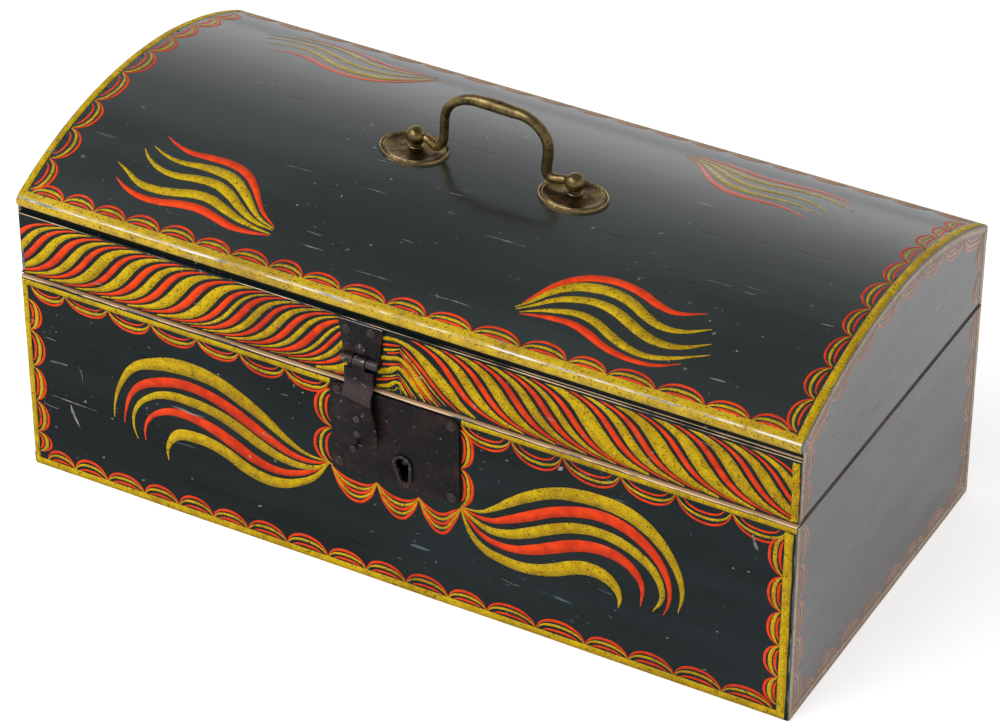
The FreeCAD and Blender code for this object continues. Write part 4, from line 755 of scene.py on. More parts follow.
# Brushwork of the lid: two plumes on each slope of the dome, scallops along its four edges, and a rope of
# slanting strokes along the front rail that meets in a herringbone beside the hasp.
BACK_LEFT_SHIFT, BACK_RIGHT_SHIFT = (-19.8, -8.3), (-10.7, -14.7)
LEFT_END, LEFT_ROPE_END, HERRINGBONE_START, RIGHT_END = -215.3*MM, -26.0*MM, -10.5*MM, 215.3*MM
ROPE_FOOT, LEFT_ROPE_TOP, RIGHT_ROPE_TOP = 117.7*MM, 152.6*MM, 151.6*MM
ROPE_GAPS, LEAST_ROOM, RED_SHARE, YELLOW_SHARE = 4.6, 1.2, 0.72, 0.76
FACES["dome"] = ((0, 0, 0), (0, 0, DOME_CENTRE), DOME_RADIUS)
FACES["rail"] = ((UPRIGHT, 0, 0), (0, rail_low.y, 0), 0.0)
DOME_LEFT_PLUME = {
    "red": (
        ((-161.2, -48.6, 0.4), (-154, -51.9, 1.6), (-144.5, -54.2, 2.8), (-133, -53.8, 4),
         (-120.5, -53.8, 4.3), (-110.5, -56.8, 4.3), (-102.8, -62.6, 3.6), (-96.6, -69.4, 2.6),
         (-90, -76.2, 1.8), (-80, -82.4, 0.5)),
        ((-171.9, -81.9, 0.4), (-164, -86, 2), (-154, -88.4, 3.2), (-144, -88.2, 3.7), (-133, -86, 4.4),
         (-121.8, -85.2, 4.5), (-111.8, -87, 4.2), (-101.8, -89.3, 3.6), (-91.8, -89.4, 2.3),
         (-79.9, -87.6, 0.5))),
    "yellow": (
        ((-164.1, -57, 0.4), (-155.5, -60.5, 1.6), (-145, -61.9, 2.6), (-134.5, -60.8, 3.8),
         (-124.2, -60.6, 5), (-114.2, -62.6, 5.4), (-105.6, -68, 4.8), (-98, -74.2, 3.5), (-90.4, -79.7, 2),
         (-79.9, -83.4, 0.5)),
        ((-168.1, -60.1, 0.4), (-162.5, -65.2, 1.6), (-154, -69.4, 2.7), (-144, -70.6, 3.6),
         (-133, -68.9, 4.4), (-121.8, -68.5, 5), (-111.8, -71.9, 5.1), (-103, -77.2, 4), (-92.8, -82.1, 2.6),
         (-79.9, -84.4, 0.5)),
        ((-176.2, -72.9, 0.4), (-168, -76.8, 1.8), (-160, -80.8, 3.1), (-150, -82, 4.4),
         (-139.3, -80.5, 4.8), (-128, -77.9, 5), (-119, -78, 5), (-109.3, -81, 4.6), (-99.3, -84.2, 3.2),
         (-89.3, -86, 1.8), (-79.9, -86.7, 0.5)))}
DOME_RIGHT_PLUME = {
    "red": (
        ((57, -81.6, 0.4), (61.3, -75, 2.2), (67, -66.4, 3), (75.5, -58.9, 3.7), (86, -54.7, 4.3),
         (97.5, -54, 4.1), (108.8, -56.2, 4.4), (118.8, -59.9, 3.9), (128, -61.2, 2.6),
         (142.6, -56.3, 0.4)),
        ((58.6, -87.6, 0.4), (66.3, -86, 1.6), (75, -84.8, 2.7), (85, -84.6, 3.4), (95, -87.2, 4.1),
         (104, -90.8, 3.5), (113.8, -93, 3), (123.8, -93.6, 2.3), (133, -92.4, 1.8), (143.8, -87.7, 0.4))),
    "yellow": (
        ((54.6, -84.9, 0.4), (60.2, -79.6, 1.8), (66.8, -71.4, 3.5), (75.5, -64.5, 5), (85.5, -61.4, 5.7),
         (96, -60.8, 5.4), (106.3, -63.4, 5.3), (116, -68.2, 4.7), (125.5, -71.3, 3.6), (136, -70.5, 2.5),
         (148.6, -64.4, 0.4)),
        ((55.6, -85.7, 0.4), (62.7, -80.9, 1.6), (70.5, -75, 3), (80, -70.9, 3.9), (91, -69.2, 4.2),
         (100.5, -70.6, 5), (110, -74.4, 5.3), (120, -78.6, 4.8), (130, -80.4, 4), (139.5, -79.1, 2.7),
         (152.5, -72.3, 0.4)),
        ((58, -86.8, 0.4), (66.3, -83, 1.5), (75, -80.2, 2.8), (85, -78.4, 3.5), (95, -79.8, 4.2),
         (104.5, -84, 4.5), (113.8, -87.5, 4), (123.8, -89.2, 3), (134, -87.7, 2.5), (154.6, -78.5, 0.4)))}
DOME_CHIPS = (
    ((-96, -44, 0.1), (-88, -43.6, 0.4), (-80, -43.4, 0.1)),
    ((-52, -43.2, 0.1), (-44, -43, 0.4), (-38, -43.2, 0.1)),
    ((-30, -92, 0.1), (-18, -91.6, 0.4), (-8, -91.8, 0.1)),
    ((14, -92.2, 0.1), (26, -91.8, 0.4), (36, -92.2, 0.1)),
    ((-14, -30, 0.1), (-6, -29.6, 0.4), (0, -29.4, 0.1)),
    ((20, -50, 0.1), (32, -49.5, 0.5), (42, -49.6, 0.1)), ((64, -24.8, 0.3), (65.6, -24.3, 1.3)),
    ((-59, -22, 0.1), (-52, -21.7, 0.4), (-47, -21.6, 0.1)), ((96, -14, 0.2), (97.4, -13.6, 0.8)),
    ((-150, -20, 0.2), (-148.8, -19.6, 0.7)), ((-30, -76, 0.2), (-28.8, -75.6, 0.8)),
    ((132, -36, 0.1), (139, -35.5, 0.4), (145, -35.6, 0.1)), ((172, -60, 0.2), (173, -59.4, 0.8)),
    ((-186, -50, 0.2), (-185, -48.8, 0.8)))


def turned(plume, shift):
    """A plume turned half way round in the plane of the lid and moved."""
    return {colour: [[(shift[0] - across, shift[1] - up, width) for across, up, width in knots]
                     for knots in paths] for colour, paths in plume.items()}


# Rope strokes are given by where they cross the rail's middle and by their widths, both in mm.
ROPE_LEFT = ((-221.5, 4), (-208, 4.2), (-193, 5), (-178.5, 4), (-162.5, 4), (-147, 4.6), (-132.5, 4.6),
             (-115.5, 5.2), (-98.5, 4), (-87, 4.6), (-73.5, 3.6), (-60, 4.2), (-47.2, 5), (-36.4, 2.8),
             (-24.8, 3.8), (-5, 4))
ROPE_RIGHT = ((34, 4.6), (50.5, 4.4), (68, 5), (84, 4.8), (98.5, 4.4), (119.5, 4.6), (135.5, 4.6), (155, 4),
              (174, 4.8), (192, 4), (208, 3), (222, 3))
ROPE_CURVE = ((-29, 118.2), (-21.5, 119.8), (-14.5, 122.1), (-8, 125.9), (-3.2, 130.2), (0, 134),
              (3.2, 138.2), (7.4, 143.1), (13.2, 147.6), (20.5, 150.8), (28.5, 152.9))
ROPE_SWELL = (0.14, 0.3, 0.52, 0.82, 1, 1, 1, 0.86, 0.58, 0.32, 0.14)
HERRINGBONE = {
    "yellow": (
        ((-6.5, 147.8, 2.2), (-0.4, 148.8, 2), (4.2, 148.6, 2), (10.4, 146.4, 3.2), (16.5, 141.7, 5),
         (22.6, 135.8, 6.4), (29.5, 129.2, 6.4), (37.1, 122, 4.2), (45, 117.9, 0.8)),
        ((-5.4, 141.2, 1.3), (-1, 142.4, 1.4), (3.3, 144.4, 0.4)),
        ((3.3, 144.4, 0.4), (7, 141, 0.9), (11.5, 136.9, 1), (16, 131.8, 1), (22, 125.2, 0.9),
         (28.6, 119.6, 0.4)),
        ((-8, 136, 2), (-2.2, 137.2, 2.3), (3, 138.4, 2.2), (7.6, 135.6, 2.8), (14, 128.2, 3),
         (20, 121.4, 2.2), (24.5, 117.9, 0.6)),
        ((-9, 127.4, 2.8), (-2.6, 130, 3.2), (2.9, 132.9, 2.2), (7.1, 129.8, 3), (12.4, 123.6, 2.8),
         (17, 118.1, 0.8)),
        ((-6.5, 125.2, 0.5), (-1.5, 127, 0.8), (2.6, 129.2, 0.3)),
        ((2.6, 129.2, 0.3), (6, 125.8, 0.8), (10, 120.6, 0.7), (12.2, 118, 0.3)),
        ((-9.8, 118.6, 1.6), (-3.2, 120.9, 2.3), (2.3, 124.4, 1.6), (4.6, 121.6, 1.9), (7.4, 118, 0.8)),
        ((-5, 117.9, 0.3), (0.4, 119.4, 0.6), (2.3, 121.4, 0.3), (4, 118.2, 0.3))),
    "red": (
        ((-6.5, 144, 1.2), (-1, 145.2, 1.3), (3.6, 146.2, 0.5)),
        ((4.6, 146, 0.4), (8.8, 142.3, 1.7), (12.6, 139, 1.9), (16.6, 135, 1.9), (22.5, 128.6, 1.9),
         (29.4, 122.4, 1.5), (36, 118.2, 0.4)),
        ((-3.6, 139.9, 0.8), (0, 140.8, 1), (3.4, 142.6, 0.4)),
        ((3.4, 142.6, 0.4), (6.6, 139.4, 1), (10.6, 135.3, 1.1), (15.2, 129.9, 1), (20.6, 123.4, 0.8),
         (26, 118.6, 0.4)),
        ((-6.5, 132.4, 0.7), (-1.5, 133.8, 1.3), (3.4, 135.7, 0.5)),
        ((3.6, 135.8, 0.5), (7.6, 132.2, 1.4), (12.2, 126.8, 1.4), (17, 121.2, 1.1), (20.6, 118, 0.4)),
        ((-9.8, 122.3, 1.3), (-4, 124.4, 1.2), (2.5, 127.5, 0.4)),
        ((2.5, 127.5, 0.4), (5.4, 124.4, 1), (9, 119.6, 0.9), (10.4, 117.9, 0.3)))}
RAIL_CHIPS = (
    ((-214.6, 120, 1.2), (-214.8, 128, 2), (-214.6, 136, 0.9)), ((-205, 146, 0.3), (-203.4, 146.6, 1.2)),
    ((-176, 124, 0.1), (-170, 125.4, 0.4), (-166, 125.2, 0.1)), ((-60, 148, 0.2), (-58.8, 148.3, 0.9)),
    ((12.4, 128.6, 0.3), (14.6, 131.4, 1.4), (15.2, 133, 0.3)), ((102, 128, 0.2), (103.4, 128.6, 1)),
    ((163, 147, 0.1), (170, 146.2, 0.5), (176, 146.6, 0.1)), ((196, 122, 0.2), (197.6, 122.8, 1.1)))


def rope(places, way):
    """Red strokes at their places and yellow ones that fill the gaps between them."""
    strokes = {"red": [(place, width*RED_SHARE) for place, width in places], "yellow": []}
    for (place, width), (following, next_width) in zip(places, places[1:]):
        room = following - place - (width + next_width)/2 - ROPE_GAPS
        middle = (place + width/2 + following - next_width/2)/2
        strokes["yellow"].append((middle, max(room, LEAST_ROOM)*YELLOW_SHARE))
    return {colour: [[(place + way*across, up, swell*width)
                      for (across, up), swell in zip(ROPE_CURVE, ROPE_SWELL)] for place, width in paths]
            for colour, paths in strokes.items()}


def rail_limits(start, end, top):
    """Where strokes of the rail end on the left, on the right, below and above."""
    return (((start, 0, 0), WAYS["left"]), ((end, 0, 0), WAYS["right"]), ((0, 0, ROPE_FOOT), WAYS["bottom"]),
            ((0, 0, top), WAYS["top"]))


ornament("rail_rope_left", "lid", (lay("rail", rope(ROPE_LEFT, 1)),),
         limits=rail_limits(LEFT_END, LEFT_ROPE_END, LEFT_ROPE_TOP))
ornament("rail_rope_right", "lid", (
    lay("rail", rope(ROPE_RIGHT, -1)), lay("rail", HERRINGBONE),
    bands("rail", (((213.4, 118.2), (213.0, 152.0), 3.6, 2),))),
    limits=rail_limits(HERRINGBONE_START, RIGHT_END, RIGHT_ROPE_TOP))
ornament("rail_rope_right", "lid", (lay("rail", {"chip": RAIL_CHIPS}),),
         limits=rail_limits(LEFT_END, RIGHT_END, RIGHT_ROPE_TOP))
ornament("dome_ornament", "lid", (
    garland("dome", (-209.0, -104.4), (208.0, -105.3), (
        0, 18.7, 36.6, 55, 75, 95.4, 116, 137.5, 156.6, 178, 203.2, 225.3, 250.3, 276.5, 301.3, 322, 347.8,
        373.4, 396.5, 417), (6.3, 3.6, 1.6), (1.3, 1.5, 1.2)),
    garland("dome", (210.7, -103.6), (210.7, 94.0), (
        0, 19.2, 38.7, 59.8, 80.9, 103.6, 124.8, 143.9, 162.3, 179.6, 197.6), (7.6, 4.7, 2.0),
            (1.2, 1.5, 1.1)),
    garland("dome", (-210.7, 92.0), (-210.7, -103.0), (
        0, 20.9, 41.7, 62.5, 82, 105.8, 131.3, 153.3, 175, 195), (9.0, 6.3, 3.3), (1.3, 1.6, 1.2)),
    lay("dome", DOME_LEFT_PLUME), lay("dome", DOME_RIGHT_PLUME),
    bands("dome", (((213.6, -106.0), (213.6, 106.0), 4.2, 6), ((-213.4, -106.0), (-213.4, 106.0), 3.4, 7))),
    lay("dome", {"chip": DOME_CHIPS})))
# The back slope's brushwork takes the greyer copies, which are painted sheen.
ornament("dome_back_ornament", "lid", (
    lay("dome", turned(DOME_RIGHT_PLUME, BACK_LEFT_SHIFT)),
    lay("dome", turned(DOME_LEFT_PLUME, BACK_RIGHT_SHIFT)),
    border("dome", (211.0, 104.0), (-211.0, 104.0), 19, (7.0, 4.6, 2.2), (1.5, 1.7, 1.5), 33),
    bands("dome", (((-214.8, 105.4), (214.8, 105.4), 3.0, 8),))), GLAZED_SHEEN_PAINTS)


def end_place(turn, depth):
    """The place on an end, mm across and mm up, that lies some mm under the dome at a turn from its top."""
    reach = DOME_RADIUS - depth*MM
    return reach*math.sin(turn)/MM, (DOME_CENTRE + reach*math.cos(turn))/MM


END_SCALLOPS, CUSP_DEPTH, RIM_DEPTH, RIM_WIDTH, RIM_OVERRUN, EDGE_SHARE = 8, 4.4, 2.6, 3.2, 1.01, 0.965
EDGE_ANGLE = math.asin(EDGE_SHARE*dome_high.y/DOME_RADIUS)
RIM_ANGLE = RIM_OVERRUN*EDGE_ANGLE
lid_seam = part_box("lid_right_end")[0].z/MM + SEAM_OFFSET
arc_step, arc_radius = 2*EDGE_ANGLE/END_SCALLOPS, DOME_RADIUS - CUSP_DEPTH*MM
arc_scallops = {
    colour: [[(*end_place(arc_step*index - EDGE_ANGLE + across*MM/arc_radius, CUSP_DEPTH + up), width)
              for across, up, width in knots] for index in range(END_SCALLOPS) for knots in paths]
    for colour, paths in scallop(arc_radius*arc_step/MM, (7.4, 5.0, 2.4), (1.8, 2.1, 1.8)).items()}
rim_band = [(*end_place(turn, RIM_DEPTH), RIM_WIDTH) for turn in even(-RIM_ANGLE, RIM_ANGLE, 14)]
# The lid's ends take the stroke copies with painted sheen.
for side, inward in (("left", -1), ("right", 1)):
    heights = (8.0*inward, 5.4*inward, 2.8*inward)
    ornament(f"lid_{side}_end_ornament", "lid", (
        lay(side, arc_scallops), lay(side, {"yellow": [rim_band]}),
        bands(side, (((-101.8*inward, 118.2), (-101.8*inward, 158.0), 3.2, 4),
                     ((103.0*inward, 118.2), (103.0*inward, 160.0), 3.2, 5))),
        border(side, (-100.2*inward, 159.0), (-100.2*inward, 119.0), 2, heights, (1.5, 1.8, 1.5), 24),
        border(side, (101.4*inward, 119.0), (101.4*inward, 160.0), 2, heights, (1.5, 1.8, 1.5), 25),
        # A band of painted shade along the seam above the case.
        bands(side, (((-102.8, lid_seam), (104.8, lid_seam), SEAM_WIDTH, 1),), "dirt")), END_SHEEN_PAINTS)

# Nose of the dome board, painted yellow over its whole round. It is the most rubbed edge of the box. Its
# pale rubbed stripe lies where the lamp's highlight falls on the round, so it is partly painted highlight.
NOSE_BAND_START, NOSE_BAND_END, NOSE_BAND_LIFT, NOSE_BAND_STEPS = 104.4*MM, 128.0, 0.06*MM, 24
NOSE_RUB_AND_HIGHLIGHT_ANGLE, NOSE_RUB_AND_HIGHLIGHT_WIDTH, TOP_STEPS, BAND_INSET = 22.0, 12.5, 4, 0.6*MM


def nose_path(lift):
    """Points of the band's section, from the dome's surface around the nose."""
    start = math.sin(NOSE_BAND_START/DOME_RADIUS)*(DOME_RADIUS + lift)
    return ([on_dome(y, DOME_RADIUS + lift) for y in even(-start, nose_top, TOP_STEPS)[:-1]]
            + around_nose(NOSE_RADIUS + lift, NOSE_BAND_END, NOSE_BAND_STEPS))


band_shape = bmesh.new()
worn_and_highlight_layer = band_shape.verts.layers.float.new("worn")
path = nose_path(NOSE_BAND_LIFT) + nose_path(0.0)[::-1]
# The rub mark peaks at the angle where the highlight falls, so its pale stripe is partly painted highlight.
rubs_and_highlight = [0.0]*TOP_STEPS + [math.exp(-((angle - NOSE_RUB_AND_HIGHLIGHT_ANGLE)/NOSE_RUB_AND_HIGHLIGHT_WIDTH)**2)
                          for angle in even(0.0, NOSE_BAND_END, NOSE_BAND_STEPS)]
half_band = dome_high.x - BAND_INSET
loops = []
for x in (-half_band, half_band):
    loop = [band_shape.verts.new((x, y, z)) for y, z in path]
    for vertex, rub in zip(loop, rubs_and_highlight + rubs_and_highlight[::-1]):
        vertex[worn_and_highlight_layer] = rub
    band_shape.faces.new(loop)
    loops.append(loop)
for index in range(len(path)):
    following = (index + 1) % len(path)
    band_shape.faces.new((loops[0][index], loops[0][following], loops[1][following], loops[1][index]))
finished("nose_band", "lid", smoothed(band_shape), (nose_mustard_and_highlight,), sharp=30.0)

# Iron: blackened sheet that has rusted lightly and is worn lighter in places, a painted highlight along the
# upper edge of the hasp's leaf, and plain dark nails.
RUST, IRON, IRON_BRIGHT = (0.050, 0.022, 0.018, 1), (0.010, 0.008, 0.009, 1), (0.34, 0.31, 0.30, 1)
STRAP_BROWN, BROWN_LOW, BROWN_HIGH, BROWN_SLOPE = (0.105, 0.070, 0.070, 1), 0.1062, 0.1235, -0.19
BROWN_JAG, BROWN_EDGE, BROWN_FADE = 2.6*MM, 0.2*MM, 5*MM
FACE_FRONT = Matrix.Rotation(UPRIGHT, 4, "X")


def browned(metal):
    """Where the strap is coloured brown: above a slanting, ragged line, and fading higher up."""
    at = metal.split(metal.place)
    jag = metal.times(metal.noise(190, detail=3.0), BROWN_JAG)
    line = metal.minus(metal.minus(at["Z"], jag), metal.times(at["X"], BROWN_SLOPE))
    above = metal.ramp(line, BROWN_LOW, BROWN_LOW + BROWN_EDGE)
    return metal.times(above, metal.ramp(metal.times(at["Z"], -1.0), -BROWN_HIGH, BROWN_FADE - BROWN_HIGH))


def iron(name, base, bright_share, roughness, pits, brown=False):
    """Old iron with rust, pits and some bright scratches."""
    metal = Material(name, Metallic=0.55, Specular_IOR_Level=0.32)
    colour = metal.blend(metal.times(metal.ramp(metal.noise(90), 0.5, 0.7), 0.75), base, RUST)
    scratched = metal.ramp(metal.noise(420, (1, 0.4, 1), 3.0), 0.68 - bright_share, 0.74 - bright_share)
    colour = metal.blend(metal.times(scratched, 0.6), colour, IRON_BRIGHT)
    if brown:
        colour = metal.blend(metal.times(browned(metal), 0.5), colour, STRAP_BROWN)
    return metal.shade(Base_Color=colour,
                       Roughness=metal.plus(roughness - 0.12, metal.times(metal.noise(260), 0.3)),
                       Normal=metal.bump(metal.plus(metal.noise(300), metal.noise(900)), pits, 0.35*MM))


black_iron = iron("black_iron", IRON, 0.02, 0.36, 1.0)
worn_iron = iron("worn_iron", (0.055, 0.048, 0.046, 1), 0.10, 0.36, 0.4)
# Bright iron for the pins, also used as a painted highlight on the upper edge of the hasp's leaf.
bright_iron = iron("bright_iron", (0.30, 0.29, 0.29, 1), 0.12, 0.30, 0.15)
nail_iron = iron("nail_iron", (0.040, 0.034, 0.034, 1), 0.05, 0.20, 0.25)
strap_iron = iron("strap_iron", IRON, 0.02, 0.34, 0.8, brown=True)


def dress(metal, *names):
    """A better material for CAD nodes that stay as they are."""
    for name in names:
        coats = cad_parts[name].data.materials
        coats.clear()
        coats.append(metal)


def skinned(rings):
    """A smooth bmesh over rings of places. A ring of one place is a pole."""
    shape = bmesh.new()
    rings = [[shape.verts.new(place) for place in ring] for ring in rings]
    steps = max(len(ring) for ring in rings)
    for lower, upper in zip(rings, rings[1:]):
        for index in range(steps):
            here, following = index, (index + 1) % steps
            shape.faces.new(dict.fromkeys((
                lower[here % len(lower)], lower[following % len(lower)], upper[following % len(upper)],
                upper[here % len(upper)])))
    if len(rings[-1]) > 1:
        shape.faces.new(rings[-1][::-1])
    return smoothed(shape)


def lathe(profile, steps):
    """A solid turned about the upright axis, from radius and height in mm at each point, as a bmesh."""
    return skinned([[(radius*MM*math.cos(turn), radius*MM*math.sin(turn), height*MM)
                     for turn in even(0, math.tau, steps)[:-1 if radius else 1]]
                    for radius, height in profile])


def moved(shape, *matrices):
    """The same bmesh after moves and turns, the last one first."""
    for matrix in reversed(matrices):
        bmesh.ops.transform(shape, matrix=matrix, verts=shape.verts)
    return shape


def welded(curve, gap):
    """The closed, smooth bmesh that a curve's own thickness makes."""
    shape = bmesh_of([solid_copy(new_object("part", curve))])
    bmesh.ops.remove_doubles(shape, verts=shape.verts, dist=gap)
    return smoothed(shape)


def sheet_metal(loops, thickness, edge):
    """A plate cut to loops of across and up, in mm, with eased edges. It faces the front."""
    curve = bpy.data.curves.new("plate", "CURVE")
    curve.dimensions, curve.fill_mode, curve.bevel_resolution = "2D", "BOTH", 2
    curve.extrude, curve.bevel_depth, curve.offset = (thickness/2 - edge)*MM, edge*MM, -edge*MM
    for loop in loops:
        spline = curve.splines.new("POLY")
        spline.points.add(len(loop) - 1)
        spline.use_cyclic_u = True
        for point, (across, up) in zip(spline.points, loop):
            point.co = (across*MM, up*MM, 0, 1)
    return moved(welded(curve, 1e-6), FACE_FRONT)


def tube(knots, resolution=6):
    """A round bar along knots of x, y, z and radius, in m, as a bmesh."""
    curve = bezier([knots], resolution)
    curve.bevel_depth, curve.bevel_resolution, curve.use_fill_caps = 1.0, 8, True
    return welded(curve, 1e-7)


def arc(centre, radius, start, end, steps):
    """Points of an arc in a plane, in degrees."""
    turns = [math.radians(turn) for turn in even(start, end, steps)]
    return [(centre[0] + radius*math.cos(turn), centre[1] + radius*math.sin(turn)) for turn in turns]


# Nails. One group sets a nail on each point of a mesh, pointing the way that the point says, with a little
# play in its size, so that every set of nails is one piece.
def stud_group():
    """Sets one object on every point, pointing along the point's own way."""
    tree, given = new_group("studs", {"Stud": "Object", "Least size": "Float", "Greatest size": "Float",
                                      "Seed": "Int"})
    way = tree.node("GeometryNodeInputNamedAttribute", {"Name": "way"}, data_type="FLOAT_VECTOR")
    turn = tree.node("FunctionNodeAlignRotationToVector", {"Vector": way[0]}, axis="Z")
    size = tree.node("FunctionNodeRandomValue", {2: given["Least size"], 3: given["Greatest size"],
                                                 "Seed": given["Seed"]}, data_type="FLOAT")
    stud = tree.node("GeometryNodeObjectInfo", {"Object": given["Stud"]})
    placed = tree.node("GeometryNodeInstanceOnPoints", {
        "Points": given["Geometry"], "Instance": stud["Geometry"], "Rotation": turn[0], "Scale": size[1]})
    tree.node("NodeGroupOutput", {0: tree.node("GeometryNodeRealizeInstances", {0: placed[0]})[0]})
    return tree.tree


studs_group = stud_group()


def studs(name, body, profile, places, replaced=(), play=(0.94, 1.06), seed=1, steps=20):
    """Nails of one profile, set at places that each have a way to point."""
    stud_mesh = mesh_of("stud", lathe(profile, steps))
    stud_mesh.set_sharp_from_angle(angle=math.radians(45))
    stud = new_object("stud", stud_mesh)
    points = bpy.data.meshes.new("points")
    points.from_pydata([place for place, way in places], [], [])
    ways = points.attributes.new("way", "FLOAT_VECTOR", "POINT")
    ways.data.foreach_set("vector", [number for place, way in places for number in way])
    mesh = worked(new_object("points", points), studs_group,
                  {"Stud": stud, "Least size": play[0], "Greatest size": play[1], "Seed": seed})
    bpy.data.objects.remove(stud)
    return finished(name, body, bmesh_of([mesh]), (nail_iron,), replaced, 45.0)


DOMED_NAIL = ((0, 1), (0.6, 0.96), (1.15, 0.76), (1.5, 0.48), (1.7, 0.56), (2.1, 0.6), (2.45, 0.44),
              (2.68, 0.14), (2.7, -0.02), (1, -0.02), (0.8, -8), (0, -9))


def cut_nail(length):
    """A nail whose low head lies almost flush with the board."""
    return (0, 0.06), (0.8, 0.09), (1.15, 0.05), (1.2, -0.3), (1.15, 1.5 - length), (0, -length)


# Lock: a plate of sheet iron with round corners, held by four domed nails, over an open lock case in the
# front board. A raised rim goes round the keyhole, and a slot lets in the staple of the hasp.
KEYHOLE_BOW, KEYHOLE_SLOT, KEYHOLE_LENGTH, KEYHOLE_TILT, KEYHOLE_RIM = 3.7, 4.6, 10.2, 10.0, 1.7
KEYHOLE_PLACE = (5.6, 78.5)
SLOT_HALF_WIDTH, SLOT_HALF_HEIGHT, SLOT_PLACE = 2.3, 6.8, (-17.3, 95.7)
PLATE_CORNER, PLATE_EDGE, RIM_EDGE, NAIL_HEAD_RADIUS = 5.0, 0.3, 0.4, 2.7*MM


def keyhole(margin):
    """The keyhole's outline, widened by a margin: round above, narrower below, and leaning."""
    bow, half, down = KEYHOLE_BOW + margin, KEYHOLE_SLOT/2 + margin, KEYHOLE_LENGTH - KEYHOLE_SLOT/2
    meet = math.degrees(math.asin((bow - half)/down))
    points = arc((0, 0), bow, -meet, 180 + meet, 24) + arc((0, -down), half, 180 + meet, 360 - meet, 12)
    lean = math.radians(-KEYHOLE_TILT)
    return [(KEYHOLE_PLACE[0] + x*math.cos(lean) + z*math.sin(lean),
             KEYHOLE_PLACE[1] - x*math.sin(lean) + z*math.cos(lean)) for x, z in points]


def plate(name, coat, loops, edge):
    """Sheet metal of the case that replaces a node and lies where it does."""
    low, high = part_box(name)
    shape = moved(sheet_metal(loops, (high.y - low.y)/MM, edge),
                  Matrix.Translation((0, (low.y + high.y)/2, 0)))
    finished(f"worn_{name}", "case", shape, (coat,), (name,))


plate_low, plate_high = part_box("lock_plate")
left, right = plate_low.x/MM + PLATE_CORNER, plate_high.x/MM - PLATE_CORNER
bottom, top = plate_low.z/MM + PLATE_CORNER, plate_high.z/MM - PLATE_CORNER
plate("lock_plate", black_iron, (
    [point for corner, start in (((right, top), 0), ((left, top), 90), ((left, bottom), 180),
                                 ((right, bottom), 270))
     for point in arc(corner, PLATE_CORNER, start, start + 90, 5)],
    keyhole(0.0),
    [(SLOT_PLACE[0] + x*SLOT_HALF_WIDTH, SLOT_PLACE[1] + z*SLOT_HALF_HEIGHT)
     for x, z in ((-1, -1), (1, -1), (1, 1), (-1, 1))]), PLATE_EDGE)
plate("keyhole_rim", nail_iron, (keyhole(KEYHOLE_RIM), keyhole(0.0)), RIM_EDGE)
nail_low, nail_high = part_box("lock_plate_nails")
studs("domed_lock_plate_nails", "case", DOMED_NAIL,
      [((x, plate_low.y, z), WAYS["front"])
       for x in (nail_low.x + NAIL_HEAD_RADIUS, nail_high.x - NAIL_HEAD_RADIUS)
       for z in (nail_low.z + NAIL_HEAD_RADIUS, nail_high.z - NAIL_HEAD_RADIUS)],
      ("lock_plate_nails",), seed=3)
dress(black_iron, "lock_case")
dress(nail_iron, "drill_pin")
dress(worn_iron, "bolt_spring", "lock_bolt")

# Hasp: a leaf nailed to the front rail and a flared strap, joined by three rolled knuckles about a pin. The
# strap steps out over the edge of the case, and the staple that the bolt catches is riveted through it.
HASP_X, HASP_Y, HASP_Z = -17.3*MM, -106.4*MM, 131.6*MM
BARREL_RADIUS, BARREL_EASE, MIDDLE_BARREL, BARREL_GAP, LEAF_HALF = 2.4, 0.35, 7.0, 0.3, 10.25
LEAF_THICKNESS, LEAF_EDGE, STRAP_THICKNESS, STRAP_EDGE, STAPLE_WIRE = 1.6, 0.4, 1.7, 0.45, 1.1
LEAF_NAILS = ((-7.9, 16.1, 1.0), (5.9, 17.7, 1.0), (-0.2, 7.0, 1.1))
STRAP_TONGUE = ((-3.5, -3.9), (-3.5, -0.4), (3.5, -0.4), (3.5, -3.9))
STRAP_RIGHT = ((8.1, -3.9), (8.1, -13), (7.7, -19), (7.9, -23), (9.2, -28), (10.4, -34), (11.3, -39.5),
               (11.5, -41.6), (11.4, -43.4), (10.8, -44.7), (9, -45.8), (6.8, -46.9), (4.3, -48.3),
               (2.2, -48.9))
STRAP_LEFT = ((-0.6, -48.9), (-3.2, -48.4), (-6.4, -47.2), (-9.2, -45.8), (-10.8, -44.2), (-11.3, -42),
              (-11.5, -39), (-11.2, -33), (-10.3, -26.7), (-9.2, -22.5), (-8.2, -18), (-8.1, -13),
              (-8.1, -3.9))
STEP_START, STEP_END, STEP_CUTS, STEP_OUT = -11.5*MM, -19.5*MM, 10, 2.4*MM
STAPLE_END, STAPLE_TOP, STAPLE_FOOT, STAPLE_START, STAPLE_BEND = 4.6, -31.4, -40.4, -5.2, 0.9
RIVET = ((0, 0.85), (0.9, 0.8), (1.6, 0.55), (2, 0.15), (2.05, -0.1), (0, -0.1))
KNOB = ((0, 4.3), (0.9, 4.25), (1.3, 3.95), (1.4, 4.05), (1.8, 3.75), (2, 3.1), (1.8, 2.4), (1.3, 2),
        (1.05, 1.5), (1.05, -1.7), (0, -1.7))
KNOB_Z, HIGHLIGHT_FROM = -46.7*MM, 15*MM
hasp_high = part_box("hasp_plate")[1]
leaf_top = (hasp_high.z - HASP_Z)/MM
pin_place = Matrix.Translation((HASP_X, HASP_Y, HASP_Z))
strap_front = -BARREL_RADIUS*MM - STEP_OUT


